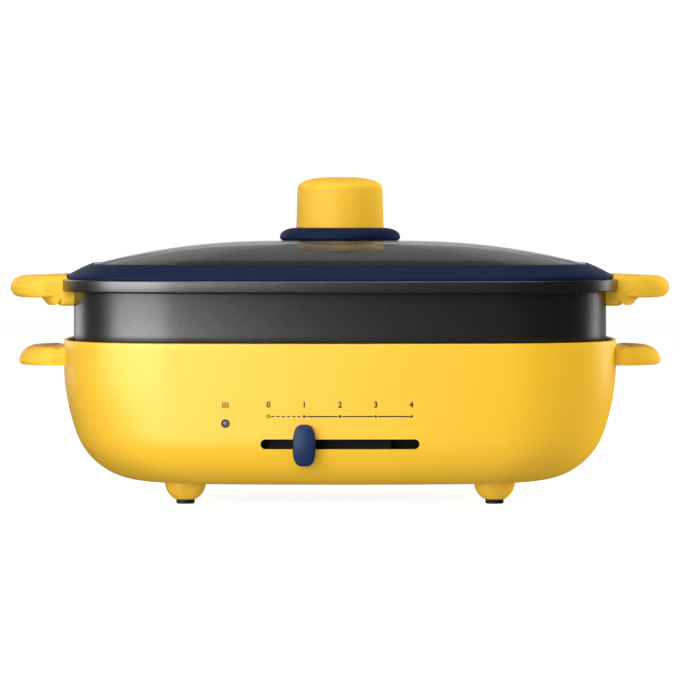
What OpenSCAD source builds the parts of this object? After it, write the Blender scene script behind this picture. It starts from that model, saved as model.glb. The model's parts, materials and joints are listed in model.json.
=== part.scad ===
// Indoor electric grill: a moulded housing with a sliding temperature control, a deep ribbed
// pan that lifts out by its side handles, and a glass lid with a soft rim and a round knob.
// Millimetres, +Z up, the front faces -Y, z = 0 is the table.

/* [Housing] */
// Width of the housing at its rim
body_w = 352; // [340:1:372]
// Depth of the housing at its rim
body_d = 236; // [228:1:250]
// Height of the housing from its underside to its rim
body_h = 88.5; // [84:0.5:100]
// Radius of the housing's corners seen from above
corner_r = 78; // [70:1:84]
// Half angle that the long sides bow through
bow_long = 6; // [4:0.5:8]
// Half angle that the short sides bow through
bow_short = 6; // [4:0.5:8]
// Thickness of the housing's wall
wall = 3; // [2.4:0.1:3.6]
// Radius of the bottom edge along the front and the back
edge_r = 29; // [22:1:34]
// Lower radius of the bottom edge at the two ends
end_r = 45; // [40:1:50]
// Upper radius of the bottom edge at the two ends
end_upper_r = 130; // [110:1:150]
// Rounding of the rim
rim_round = 0.9; // [0.4:0.1:1.1]

/* [Feet] */
// Height of the housing's underside above the table
foot_h = 13.5; // [11:0.5:20]
// Radius of the round moulded feet
foot_r = 13; // [11:0.5:15]
// Distance of the feet from the middle, across
foot_x = 97; // [90:1:104]
// Distance of the feet from the middle, front to back
foot_y = 60; // [56:1:70]
// Radius of the rubber pads
pad_r = 5.8; // [4:0.1:6]
// Height of the rubber pads
pad_h = 2.8; // [2:0.1:4]
// Radius of the stems that plug the pads into the feet
pad_stem_r = 2.4; // [1.5:0.1:3]
// Length of those stems
pad_stem_h = 6; // [4:0.5:8]

/* [Bottom cover] */
// Width of the bottom cover
cover_w = 160; // [130:1:164]
// Depth of the bottom cover
cover_d = 88; // [76:1:90]
// Corner radius of the bottom cover
cover_r = 12; // [8:1:16]
// Height of the screw lugs that hold the cover
lug_h = 8; // [6:0.5:10]
// Number of air slots in the cover
vent_count = 7; // [3:1:9]

/* [Pan] */
// Gap between the housing's wall and the pan
pan_gap = 3.3; // [2.5:0.1:4.5]
// Thickness of the pan's wall
pan_wall = 3; // [2.4:0.1:3.6]
// Thickness of the pan's floor
pan_floor_t = 3.4; // [3:0.1:5]
// How far the pan's rim flange overhangs the housing
flange_over = 1.4; // [0.6:0.1:2]
// Thickness of the rim flange
flange_t = 7.4; // [6.5:0.1:9]
// Height of the flange's underside above the housing's rim
pan_rise = 31; // [28:0.5:40]
// Depth of the pan inside
pan_depth = 64; // [60:0.5:68]
// How much the pan's wall draws in below the housing's rim
pan_taper = 7.7; // [6:0.1:9]
// Radius between the pan's wall and floor
pan_fillet = 11; // [8:0.5:14]
// Height of the grill ribs
rib_h = 3; // [2:0.1:4]
// Width of a grill rib at its foot
rib_w = 4.6; // [3:0.1:6]
// Distance from one grill rib to the next
rib_pitch = 14; // [11:0.5:18]
// Number of grill ribs
rib_count = 17; // [9:2:19]

/* [Handles] */
// How far the pan's handles stand out past the housing
pan_handle_reach = 34; // [29:0.5:38]
// Length of the pan's handles, front to back
pan_handle_w = 92; // [80:1:96]
// Thickness of the pan's handles at the nose
pan_handle_t = 13.8; // [12:0.1:16]
// Height of the pan's handles above the flange
pan_handle_lip = 2.6; // [1.6:0.1:3.5]
// How far the housing's handles stand out
base_handle_reach = 28.4; // [23:0.2:32]
// Length of the housing's handles, front to back
base_handle_w = 92; // [80:1:96]
// Thickness of the housing's handles
base_handle_t = 12; // [11:0.1:14]
// Depth of the housing's handles below the rim
base_handle_drop = 4; // [3:0.1:8]
// How far the handles' noses bow back at their ends
handle_bow = 20; // [14:1:22]

/* [Lid] */
// Inset of the lid's soft rim from the housing's outline
lid_inset = 2; // [1.6:0.1:3]
// Width of the soft rim seen from above
ring_w = 16.2; // [14:0.1:18]
// Width of the sloping border under the soft rim and around the dome
band_w = 26.5; // [23:0.1:30]
// Height of the lip around the soft rim
lip_h = 2.4; // [1.8:0.1:2.4]
// Height of the sloping border's outer edge
band_edge_h = 3; // [2.8:0.1:4]
// Rise of the sloping border
band_rise = 9.5; // [8:0.1:11]
// Thickness of the soft rim over the glass
band_t = 0.8; // [0.8:0.1:1.4]
// How soon the border levels off towards the dome
band_power = 1.5; // [1.2:0.1:1.8]
// Rise of the glass from its border to its flat top
dome_rise = 12.3; // [11:0.1:16]
// Thickness of the glass
glass_t = 2.4; // [2:0.1:4]
// Radius of the flat middle of the glass
plateau_r = 40; // [39:0.5:46]
// How late the glass falls away towards the ends
dome_power_end = 2.1; // [1.6:0.1:2.4]
// How late the glass falls away towards the front and the back
dome_power_front = 1.3; // [1.1:0.1:1.8]

/* [Lid knob] */
// Radius of the knob's collar
collar_r = 38.5; // [34:0.5:38.5]
// Height of the collar
collar_h = 8.1; // [6:0.1:10]
// Radius of the knob at its foot
knob_r = 28; // [24:0.5:30]
// Radius of the knob below its rounded top
knob_top_r = 27; // [22:0.5:28]
// Height of the knob
knob_h = 32.5; // [26:0.5:40]
// Radius of the rounding at the knob's top
knob_round = 7; // [5:0.2:8]
// Height of the knob's crown inside that rounding
knob_crown = 2.4; // [1.2:0.1:3]
// Radius of the seat under the glass
seat_r = 27.8; // [22:0.2:30]
// Height of the seat under the glass
seat_h = 4.5; // [3:0.1:6]
// Width of the seat's shoulder that holds the glass
seat_shoulder = 1.4; // [1:0.1:4]

/* [Temperature control] */
// Height of the slot above the housing's underside
slot_rise = 26.9; // [24:0.1:28]
// Half the length of the slot
slot_half = 49; // [48.5:0.5:54]
// Height of the slot
slot_h = 6.8; // [5.5:0.1:8]
// Distance from one setting to the next
setting_pitch = 22; // [18:0.5:22]
// Width of the slider's knob
slider_w = 14.3; // [11:0.1:16]
// Height of the slider's knob
slider_h = 25.6; // [20:0.2:28]
// How far the slider's knob stands out
slider_d = 10; // [7:0.2:11]
// Width of the stem in the slot
stem_w = 8; // [6:0.2:8]
// Tooth module of the rack and the pinion
tooth_module = 1.5; // [1.3:0.1:1.6]
// Number of teeth on the pinion
pinion_teeth = 25; // [23:1:26]
// Height of the rack
rack_h = 8.6; // [7.5:0.1:9]
// Thickness of the rack behind its teeth
rack_t = 5; // [4:0.1:6]
// Distance of the rack from the front of the housing
rack_setback = 12.5; // [12:0.1:14]
// Radius of the thermostat's spindle
spindle_r = 3; // [2.5:0.1:3.5]

/* [Lamp] */
// Distance of the lamp from the middle
lamp_x = 70.6; // [66:0.2:74]
// Height of the lamp above the housing's underside
lamp_rise = 39.4; // [38.5:0.1:41]
// Outer radius of the lamp's bezel
lamp_r = 2.6; // [2.2:0.1:3]
// Radius of the lamp's lens
lens_r = 1.85; // [1.4:0.05:2]

/* [Heating] */
// Height of the space for the wiring
chamber_h = 43.5; // [42.5:0.5:45]
// Thickness of the liner's sheet
liner_t = 1; // [0.8:0.1:1.2]
// Radius of the heating element's tube
element_r = 3.5; // [3:0.1:4]
// Half the width of the heating loop
loop_x = 118; // [100:1:124]
// Half the depth of the heating loop
loop_y = 64; // [62:1:72]
// Corner radius of the heating loop
loop_r = 40; // [30:1:50]
// Distance of the element's two ends from the middle
element_end_x = 20; // [16:0.5:26]
// Distance of the pot rests from the middle, across
rest_x = 80; // [60:1:100]
// Distance of the pot rests from the middle, front to back
rest_y = 42; // [30:1:50]
// Radius of the pot rests
rest_r = 6; // [4:0.5:8]

/* [Power inlet] */
// Height of the inlet above the housing's underside
inlet_rise = 31.5; // [28:0.5:36]
// Width of the inlet's body
inlet_w = 36; // [32:0.5:40]
// Height of the inlet's body
inlet_h = 20; // [18:0.5:22]
// How far the inlet stands out at the back
inlet_stand = 9; // [6:0.5:10]
// Depth of the inlet's socket
socket_depth = 18; // [15:0.5:20]
// Thickness of the socket's walls
socket_wall = 3; // [2.4:0.1:3.5]
// Distance of the two pins from the middle
inlet_pin_x = 7; // [6:0.2:9]
// Radius of the pins
inlet_pin_r = 2; // [1.5:0.1:2.4]

/* [Hidden] */
$fn = 64;
// Clearance of pieces that are fixed together
fit = 0.1;
// Clearance of pieces that slide or turn
run = 0.3;
// Overlap that cuts run past a face and that bosses sink into a wall
bite = 1;

yellow = "#F3C13F";
navy = "#24364F";
charcoal = "#3A3B3D";
black = "#1C1C1E";
steel = "#B9BBBD";
brass = "#C9A65A";
ceramic = "#E8E4DA";
clear = "#5A6066";

// Heights above the table
rim_z = foot_h + body_h;
floor_z = foot_h + wall;
flange_z = rim_z + pan_rise;
flange_top = flange_z + flange_t;
pan_floor_z = flange_top - pan_depth;
pan_under_z = pan_floor_z - pan_floor_t;
liner_z = floor_z + chamber_h;
liner_floor = liner_z + liner_t;
slot_z = foot_h + slot_rise;
lamp_z = foot_h + lamp_rise;
inlet_z = foot_h + inlet_rise;

// The outline seen from above: four corner arcs joined by tangent arcs that bow gently
half_w = body_w / 2;
half_d = body_d / 2;
bow_det = sin(bow_long) * sin(bow_short) - (1 - cos(bow_long)) * (1 - cos(bow_short));
span_x = half_w - corner_r;
span_y = half_d - corner_r;
bow_u = (span_x * sin(bow_short) - span_y * (1 - cos(bow_short))) / bow_det;
bow_v = (span_y * sin(bow_long) - span_x * (1 - cos(bow_long))) / bow_det;
corner_x = bow_u * sin(bow_long);
corner_y = bow_v * sin(bow_short);
side_cx = corner_x - bow_v * cos(bow_short);
long_cy = corner_y - bow_u * cos(bow_long);

side_steps = 2;
corner_steps = 8;
long_steps = 4;
corner_sweep = 90 - bow_long - bow_short;
quarter_angles = concat(
  [for (i = [0 : side_steps - 1]) bow_short * i / side_steps],
  [for (i = [0 : corner_steps - 1]) bow_short + corner_sweep * i / corner_steps],
  [for (i = [0 : long_steps - 1]) 90 - bow_long + bow_long * i / long_steps]);
half_angles = concat(quarter_angles, [90],
  [for (i = [len(quarter_angles) - 1 : -1 : 1]) 180 - quarter_angles[i]]);
outline_angles = concat(half_angles, [for (a = half_angles) 180 + a]);

// Point of the outline, set in by off, where its normal has the given angle
function outline_point(off, angle) =
  let (c = abs(cos(angle)), s = abs(sin(angle)), turn = atan2(s, c), r = corner_r - off,
       p = turn < bow_short ? [side_cx + (bow_v + r) * c, (bow_v + r) * s]
         : turn < 90 - bow_long ? [corner_x + r * c, corner_y + r * s]
         : [(bow_u + r) * c, long_cy + (bow_u + r) * s])
  [sign(cos(angle)) * p.x, sign(sin(angle)) * p.y];

function outline(off) = [for (a = outline_angles) outline_point(off, a)];

// Distance from the middle to the short side of the outline, at a place y along it
function side_x(off, y) = side_cx + sqrt(pow(bow_v + corner_r - off, 2) - y * y);

// Distance from the middle to the long side of the outline, at a place x along it
function long_y(off, x) = long_cy + sqrt(pow(bow_u + corner_r - off, 2) - x * x);

// The outline as a ring of points at a height, drawn in further at the ends and the edges
function ring(off, z, end_in = 0, edge_in = 0) =
  [for (p = outline(off))
    [p.x * (1 - end_in / (half_w - off)), p.y * (1 - edge_in / (half_d - off)), z]];

// A polygon section, given as [off, z], carried round the outline
function section_rings(section) = [for (s = section) ring(s[0], s[1])];

function reversed(list) = [for (i = [len(list) - 1 : -1 : 0]) list[i]];

// Solid skin over rings of equally many points, capped at both ends or closed on itself
module skin(rings, closed = false) {
  n = len(rings[0]);
  count = len(rings);
  last = closed ? count - 1 : count - 2;
  sides = [for (i = [0 : last], j = [0 : n - 1], half = [0, 1])
    let (a = i * n, b = (i + 1) % count * n, k = (j + 1) % n)
    half == 0 ? [a + j, b + j, b + k] : [a + j, b + k, a + k]];
  caps = closed ? [] : [
    [for (j = [0 : n - 1]) j],
    [for (j = [n - 1 : -1 : 0]) (count - 1) * n + j]];
  polyhedron(points = [for (r = rings) each r], faces = concat(sides, caps));
}

module outline_prism(off, z0, z1) {
  translate([0, 0, z0])
    linear_extrude(z1 - z0)
      polygon(outline(off));
}

module rounded_rect(w, d, r) {
  square([w - 2 * r, d], center = true);
  square([w, d - 2 * r], center = true);
  for (x = [-1, 1], y = [-1, 1])
    translate([x * (w / 2 - r), y * (d / 2 - r)])
      circle(r);
}

// Row of shapes along a list of places
module at(places) {
  for (p = places)
    translate(p)
      children();
}

module on_side(side) {
  if (side > 0)
    children();
  else
    mirror([1, 0, 0])
      children();
}

// Cylinder along +Y that starts at y = 0
module rod_y(r, len) {
  rotate([-90, 0, 0])
    cylinder(r = r, h = len);
}

// Screw standing on its head at z = 0, its shank up
module screw_up(shank_r, shank_h, head_r, head_h) {
  translate([0, 0, -head_h])
    cylinder(r = head_r, h = head_h);
  cylinder(r = shank_r, h = shank_h);
}

// Tube along a path, its rings turned with the path so that they do not twist
function unit(v) = v / norm(v);
function tangent(path, i) =
  unit(path[min(i + 1, len(path) - 1)] - path[max(i - 1, 0)]);
function across(t, n) = unit(n - (n * t) * t);
function tube_sides(path, i, n) =
  let (m = across(tangent(path, i), n))
  i == len(path) - 1 ? [m] : concat([m], tube_sides(path, i + 1, m));
module tube(path, r, sides, first_side) {
  normals = tube_sides(path, 0, first_side);
  skin([for (i = [0 : len(path) - 1])
    let (n = normals[i], b = cross(tangent(path, i), n))
    [for (k = [0 : sides - 1]) path[i] + r * (cos(360 * k / sides) * n + sin(360 * k / sides) * b)]]);
}

function bezier(a, b, c, d, t) =
  pow(1 - t, 3) * a + 3 * t * pow(1 - t, 2) * b + 3 * t * t * (1 - t) * c + pow(t, 3) * d;

// Wire that leaves one end along its lead and comes to the other end along that lead
wire_steps = 12;
wire_sides = 8;
module wire(start, start_lead, end, end_lead, r) {
  a = start + r * unit(start_lead);
  b = end + r * unit(end_lead);
  path = concat([start],
    [for (i = [0 : wire_steps]) bezier(a, a + start_lead, b + end_lead, b, i / wire_steps)],
    [end]);
  tube(path, r, wire_sides, cross(start_lead, start_lead + [3, 5, 7]));
}

// Housing shell: inset of its two bottom edges at a height h above its own floor
end_join = 70;
shell_lower_steps = 6;
shell_upper_steps = 3;
function arc_inset(r, h) = h < r ? r - sqrt(r * r - (r - h) * (r - h)) : 0;
function end_top(off) = end_r - off + (end_upper_r - end_r) * cos(end_join);
function end_inset(h, off) =
  let (r1 = end_r - off, r2 = end_upper_r - off, top = end_top(off))
  h < r1 * (1 - cos(end_join))
    ? r2 - (r2 - r1) * sin(end_join) - sqrt(r1 * r1 - (r1 - h) * (r1 - h))
    : h < top ? r2 - sqrt(r2 * r2 - (top - h) * (top - h)) : 0;
function shell_levels(off) = concat(
  [for (i = [0 : shell_lower_steps])
    (end_r - off) * (1 - cos(end_join * i / shell_lower_steps))],
  [for (i = [1 : shell_upper_steps])
    end_top(off) - (end_upper_r - off) * cos(end_join + (90 - end_join) * i / shell_upper_steps)]);
function shell_rings(off) =
  [for (h = shell_levels(off))
    ring(off, foot_h + off + h, end_inset(h, off), arc_inset(edge_r - off, h))];

// Places that several pieces share
foot_places = [[-foot_x, -foot_y], [foot_x, -foot_y], [-foot_x, foot_y], [foot_x, foot_y]];
pad_names = ["foot_pad_front_left", "foot_pad_front_right", "foot_pad_rear_left", "foot_pad_rear_right"];
post_r = 5.5;
screw_r = 1.6;
screw_head_r = 3.2;
screw_head_h = 2.2;
post_screw_h = 12;
lug_r = 7;
lug_inset = 9;
lug_places = [for (x = [-1, 1], y = [-1, 1])
  [x * (cover_w / 2 - lug_inset), y * (cover_d / 2 - lug_inset)]];
lug_foot = 8;
handle_screw_y = 26;
handle_screw_r = 1.9;
handle_screw_h = 16;
handle_head_r = 3.5;
handle_seat_x = side_x(wall, handle_screw_y + handle_head_r) - 2 * fit;
base_handle_top = rim_z - base_handle_drop;
base_handle_z = base_handle_top - base_handle_t;
base_screw_z = base_handle_z + base_handle_t / 2;

// Rack, pinion and thermostat
rest_setting = -1;
top_setting = 2;
slider_x = rest_setting * setting_pitch;
tooth_pitch = PI * tooth_module;
pressure = 20;
backlash = 0.3;
addendum = tooth_module;
dedendum = 1.25 * tooth_module;
pitch_r = tooth_module * pinion_teeth / 2;
rack_front = -half_d + rack_setback;
rack_root = rack_front + rack_t;
rack_pitch_y = rack_root + dedendum;
rack_tip = rack_pitch_y + addendum;
rack_half = top_setting * setting_pitch + 2 * tooth_pitch;
rack_z = slot_z - rack_h / 2;
pinion_y = rack_pitch_y + pitch_r + run / 2;
pinion_t = rack_h - 2;
pinion_z = slot_z - pinion_t / 2;

// Guide of the rack: a channel with lips in front, open where the pinion reaches in
guide_half = 82;
guide_t = 2;
guide_lip = 1.2;
guide_back = rack_tip + 0.5;
guide_window = pinion_y - guide_back < pitch_r + addendum
  ? sqrt(pow(pitch_r + addendum + run, 2) - pow(pinion_y - guide_back - guide_t, 2)) + 2 : 0;
guide_boss_x = 68;
guide_boss_gap = 8;
guide_boss_y = guide_back + guide_t + guide_boss_gap;
guide_boss_h = 5;
guide_boss_r = 4.5;
guide_ear_w = 16;
guide_ear_t = 3;

thermostat_w = 38;
thermostat_d = 36;
bracket_t = 1;
bracket_w = 64;
bracket_hole_x = 26;
thermostat_z = rack_z + rack_h + run + guide_t + 0.5;
thermostat_top = liner_z - bracket_t;
thermostat_tab = 5;
tab_size = 4;
tab_x = 10;
tab_y = 6;
tab_z = (thermostat_z + thermostat_top) / 2;
spindle_bore_h = 8;
spindle_run = 0.06;
clip_t = 0.8;

// Section of the lid, as [off, z]: off is the inset from the housing's outline
band_in = lid_inset + band_w;
ring_in = lid_inset + ring_w;
band_low = lid_inset + 1.8;
band_top = flange_top + band_edge_h + band_rise;
function band_z(off) = band_top - band_rise * pow((band_in - off) / (band_in - band_low), band_power);
function glass_z(off) = band_z(off) - band_t;
glass_off = 10.5;
mouth_off = wall + pan_gap + pan_wall;
plateau_z = glass_z(band_in) + dome_rise;

pan_off = wall + pan_gap;
wall_low_z = pan_under_z + pan_fillet;
taper_top_z = rim_z + 2;
inner_fillet = pan_fillet - pan_wall;

// Element, clips and wiring
element_gap = 0.6;
element_z = pan_under_z - element_gap - element_r;
element_sides = 12;
bend_min = 0.5;
element_tail = 12;
element_end_z = liner_z - element_tail;
element_bend_r = max(element_r + bend_min, element_z - liner_floor);
element_pin_r = 1.5;
element_pin_h = 7;
bush_r = 6;
bush_t = 5;
bush_spigot_r = bush_r - 1;
clip_front_x = 60;
clip_back_x = 75;
clip_places = [for (side = [-1, 1]) each
  [[side * clip_front_x, -loop_y], [side * clip_back_x, loop_y]]];
clip_w = 8;
clip_d = 10;
wire_r = 1.2;
lamp_wire_r = 0.6;
lamp_y = -long_y(0, lamp_x);
lamp_proud = 0.6;
bezel_len = 7;
lamp_len = 9;
lamp_lead_gap = 1.2;
inlet_back = half_d + inlet_stand;
inlet_flange_side = 8;
inlet_flange_edge = 4;
inlet_flange_w = inlet_w + 2 * inlet_flange_side;
inlet_flange_h = inlet_h + 2 * inlet_flange_edge;
inlet_flange_t = 3;
inlet_len = 30;
inlet_screw_x = inlet_w / 2 + 4.4;
inlet_boss_len = 8;
inlet_boss_r = 3.6;
pin_proud = 12;
pin_tail = 6;
block_step = 8;
block_y = loop_y + block_step;
block_w = 40;
block_d = 16;
block_h = 13;
fuse_x = -30;
fuse_y = rest_y + 3;
fuse_r = 4;
fuse_len = 18;
fuse_drop = 5;
fuse_z = liner_z - fuse_drop;

// Moulded foot, round below, that grows out of the housing's floor
module foot() {
  rotate_extrude()
    intersection() {
      translate([0, foot_h + wall / 6])
        circle(foot_r);
      translate([0, pad_h])
        square([foot_r, foot_h + wall / 2 - pad_h]);
    }
}

module cover_lug(place) {
  side = sign(place.x);
  reach = lug_inset + lug_foot;
  translate([place.x, place.y, floor_z])
    cylinder(r = lug_r, h = lug_h);
  translate([place.x + side * reach / 2, place.y, floor_z + lug_h / 2])
    cube([reach, 2 * lug_r, lug_h], center = true);
}

module slot_shape() {
  square([2 * slot_half - slot_h, slot_h], center = true);
  for (x = [-1, 1])
    translate([x * (slot_half - slot_h / 2), 0])
      circle(d = slot_h);
}

module base_housing() {
  rim_rings = section_rings([[0, rim_z - rim_round], [rim_round, rim_z],
    [wall - rim_round, rim_z], [wall, rim_z - rim_round]]);
  color(yellow)
    difference() {
      union() {
        skin(concat(shell_rings(0), rim_rings, reversed(shell_rings(wall))));
        at(foot_places)
          foot();
        at(foot_places)
          translate([0, 0, floor_z - bite])
            cylinder(r = post_r, h = liner_z - floor_z + bite);
        for (x = [-1, 1])
          translate([x * guide_boss_x, guide_boss_y, floor_z - bite])
            cylinder(r = guide_boss_r, h = guide_boss_h + bite);
        for (x = [-1, 1])
          translate([x * inlet_screw_x, half_d - wall - inlet_boss_len, inlet_z])
            rod_y(inlet_boss_r, inlet_boss_len + bite);
        difference() {
          for (p = lug_places)
            translate([0, 0, -bite])
              cover_lug(p);
          translate([0, 0, foot_h - bite])
            linear_extrude(wall + bite)
              rounded_rect(cover_w + 2 * fit, cover_d + 2 * fit, cover_r);
        }
      }
      translate([0, 0, foot_h - bite])
        linear_extrude(wall + bite)
          rounded_rect(cover_w + 2 * fit, cover_d + 2 * fit, cover_r);
      for (p = lug_places)
        translate([p.x, p.y, floor_z])
          cylinder(r = screw_r + fit, h = lug_h - bite);
      at(foot_places)
        cylinder(r = pad_stem_r + fit, h = pad_h + pad_stem_h + fit);
      at(foot_places)
        translate([0, 0, liner_z - post_screw_h])
          cylinder(r = screw_r + fit, h = post_screw_h + bite);
      for (x = [-1, 1])
        translate([x * guide_boss_x, guide_boss_y, floor_z])
          cylinder(r = screw_r + fit, h = guide_boss_h + bite);
      translate([0, -half_d + 3 * wall, slot_z])
        rotate([90, 0, 0])
          linear_extrude(4 * wall)
            slot_shape();
      translate([-lamp_x, -half_d - bite, lamp_z])
        rod_y(lamp_r + fit, 4 * wall);
      translate([-inlet_w / 2 - fit, half_d - 2 * wall, inlet_z - inlet_h / 2 - fit])
        cube([inlet_w + 2 * fit, 4 * wall, inlet_h + 2 * fit]);
      for (x = [-1, 1])
        translate([x * inlet_screw_x, half_d - wall - inlet_boss_len + bite, inlet_z])
          rod_y(screw_r + fit, inlet_boss_len + 2 * wall);
      for (x = [-1, 1], y = [-1, 1])
        translate([x * half_w, y * handle_screw_y, base_screw_z])
          rotate([0, 90, 0])
            cylinder(r = handle_screw_r + fit, h = 4 * wall, center = true);
    }
}

module bottom_cover() {
  vent_w = 4;
  vent_margin = 22;
  vent_len = cover_d - 2 * vent_margin;
  vent_pitch = (cover_w - 2 * vent_margin) / (vent_count - 1);
  color(charcoal)
    difference() {
      translate([0, 0, foot_h])
        linear_extrude(wall)
          difference() {
            rounded_rect(cover_w - 2 * fit, cover_d - 2 * fit, cover_r);
            for (i = [0 : vent_count - 1])
              translate([(i - (vent_count - 1) / 2) * vent_pitch, 0])
                rounded_rect(vent_w, vent_len, vent_w / 2 - fit);
          }
      for (p = lug_places)
        translate([p.x, p.y, foot_h - bite]) {
          cylinder(r = screw_r + fit, h = wall + 2 * bite);
          cylinder(r = screw_head_r + fit, h = bite + wall / 2);
        }
    }
}

module bottom_screws() {
  color(steel)
    for (p = lug_places)
      translate([p.x, p.y, foot_h + wall / 2])
        screw_up(screw_r, wall / 2 + lug_h - 2 * bite, screw_head_r, wall / 2);
}

module foot_pad(place) {
  color(black)
    translate(place) {
      cylinder(r = pad_r, h = pad_h);
      cylinder(r = pad_stem_r, h = pad_h + pad_stem_h);
    }
}

// Outline of a handle seen from above, from inside the wall to its bowed nose
handle_steps = 12;
module handle_plan(w, tip) {
  root = half_w - corner_r / 2;
  nose = [for (i = [-handle_steps : handle_steps])
    let (way = i / handle_steps)
    [tip - handle_bow * pow(way, 4), way * w / 2]];
  polygon(concat([[root, -w / 2]], nose, [[root, w / 2]]));
}

// Side view of the housing's handle: flat below, rounded over at its outer top edge
module base_handle_side() {
  tip = half_w + base_handle_reach;
  shoulder_r = base_handle_t - 2;
  root = half_w - 4 * wall;
  scoop_r = 30;
  scoop_depth = 1.4;
  scoop_x = half_w + base_handle_reach * 0.36;
  difference() {
    union() {
      translate([root, base_handle_z])
        square([tip - shoulder_r - root, base_handle_t]);
      translate([root, base_handle_z])
        square([tip - root, base_handle_t - shoulder_r]);
      translate([tip - shoulder_r, base_handle_top - shoulder_r])
        intersection() {
          circle(shoulder_r);
          square(shoulder_r);
        }
    }
    translate([scoop_x, base_handle_top + scoop_r - scoop_depth])
      circle(scoop_r);
  }
}

module base_handle() {
  difference() {
    intersection() {
      rotate([90, 0, 0])
        linear_extrude(base_handle_w, center = true)
          base_handle_side();
      translate([0, 0, base_handle_z - bite])
        linear_extrude(base_handle_t + 2 * bite)
          handle_plan(base_handle_w, half_w + base_handle_reach);
    }
    outline_prism(0, base_handle_z - bite, base_handle_top + bite);
    for (y = [-1, 1])
      translate([half_w - wall, y * handle_screw_y, base_screw_z])
        rotate([0, 90, 0])
          cylinder(r = handle_screw_r + fit, h = handle_screw_h + fit);
  }
}

module base_handle_screws() {
  color(steel)
    for (side = [-1, 1], y = [-1, 1])
      on_side(side)
        translate([handle_seat_x, y * handle_screw_y, base_screw_z])
          rotate([0, 90, 0])
            screw_up(handle_screw_r, handle_screw_h - bite, handle_head_r, screw_head_h);
}

// Pressed liner that carries the heat above the wiring
liner_foot_in = 6;
liner_gap = 4.5;
liner_flare = 1.5;
liner_bend_h = 10;
liner_h = 30;
module liner_tray() {
  foot_off = pan_off + pan_taper + liner_foot_in;
  wall_off = wall + liner_gap;
  wall_z = liner_z + liner_bend_h;
  top_z = liner_z + liner_h;
  color(steel)
    difference() {
      skin(section_rings([
        [foot_off, liner_z], [wall_off + liner_flare, wall_z], [wall_off, top_z],
        [wall_off + liner_t, top_z], [wall_off + liner_flare + liner_t, wall_z],
        [foot_off + liner_t / 2, liner_floor]]));
      at(foot_places)
        translate([0, 0, liner_z - bite])
          cylinder(r = screw_r + fit, h = liner_t + 2 * bite);
      for (x = [-1, 1])
        translate([x * bracket_hole_x, pinion_y, liner_z - bite])
          cylinder(r = screw_r + fit, h = liner_t + 2 * bite);
      for (x = [-1, 1])
        translate([x * element_end_x, loop_y, liner_z - bite])
          cylinder(r = bush_spigot_r + fit, h = liner_t + 2 * bite);
    }
}

module liner_screws() {
  color(steel)
    at(foot_places)
      translate([0, 0, liner_floor])
        mirror([0, 0, 1])
          screw_up(screw_r, post_screw_h - bite, screw_head_r, screw_head_h);
}

// Path of the heating element: down one end, round the loop and down the other end
loop_bend_steps = 6;
function bend(cx, cy, r, from, to) =
  [for (i = [0 : loop_bend_steps])
    let (a = from + (to - from) * i / loop_bend_steps) [cx + r * cos(a), cy + r * sin(a), element_z]];
function drop(side) =
  [for (i = [0 : loop_bend_steps])
    let (a = 90 * i / loop_bend_steps)
    [side * (element_end_x + element_bend_r * (1 - sin(a))), loop_y,
     element_z - element_bend_r * (1 - cos(a))]];
element_path = concat(
  [[element_end_x, loop_y, element_end_z]],
  reversed(drop(1)),
  bend(loop_x - loop_r, loop_y - loop_r, loop_r, 90, 0),
  bend(loop_x - loop_r, -loop_y + loop_r, loop_r, 0, -90),
  bend(-loop_x + loop_r, -loop_y + loop_r, loop_r, 270, 180),
  bend(-loop_x + loop_r, loop_y - loop_r, loop_r, 180, 90),
  drop(-1),
  [[-element_end_x, loop_y, element_end_z]]);

module heating_element() {
  color("#4A4744")
    tube(element_path, element_r, element_sides, [0, 1, 0]);
}

module element_terminals() {
  color(brass)
    for (x = [-1, 1])
      translate([x * element_end_x, loop_y, element_end_z - element_pin_h])
        cylinder(r = element_pin_r, h = element_pin_h);
}

// Ceramic bushes that seat under the liner, with a spigot through its holes
module element_bushes() {
  color(ceramic)
    for (x = [-1, 1])
      translate([x * element_end_x, loop_y, 0])
        difference() {
          union() {
            translate([0, 0, liner_z - bush_t])
              cylinder(r = bush_r, h = bush_t);
            translate([0, 0, liner_z - bush_t])
              cylinder(r = bush_spigot_r, h = bush_t + liner_t);
          }
          translate([0, 0, liner_z - bush_t - bite])
            cylinder(r = element_r + fit, h = bush_t + liner_t + 2 * bite);
        }
}

module element_clips() {
  color(steel)
    for (p = clip_places)
      translate([p.x, p.y, 0])
        difference() {
          translate([-clip_w / 2, -clip_d / 2, liner_floor])
            cube([clip_w, clip_d, element_z - liner_floor]);
          translate([0, 0, element_z])
            rotate([0, 90, 0])
              cylinder(r = element_r + fit, h = 2 * clip_w, center = true);
        }
}

module pot_rests() {
  color(ceramic)
    for (x = [-1, 1], y = [-1, 1])
      translate([x * rest_x, y * rest_y, liner_floor])
        cylinder(r = rest_r, h = pan_under_z - liner_floor);
}

module thermostat_body() {
  color(black)
    difference() {
      union() {
        translate([-thermostat_w / 2, pinion_y - thermostat_d / 2, thermostat_z])
          cube([thermostat_w, thermostat_d, thermostat_top - thermostat_z]);
        for (x = [-1, 1])
          translate([x * tab_x - tab_size / 2, pinion_y + thermostat_d / 2 - bite, tab_z - tab_size / 2])
            cube([tab_size, thermostat_tab + bite, tab_size]);
        for (y = [-1, 1])
          translate([-thermostat_w / 2 - thermostat_tab, pinion_y + y * tab_y, tab_z])
            translate([0, -tab_size / 2, -tab_size / 2])
              cube([thermostat_tab + bite, tab_size, tab_size]);
      }
      translate([0, pinion_y, thermostat_z - bite])
        cylinder(r = spindle_r + spindle_run, h = spindle_bore_h + bite);
    }
}

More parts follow.
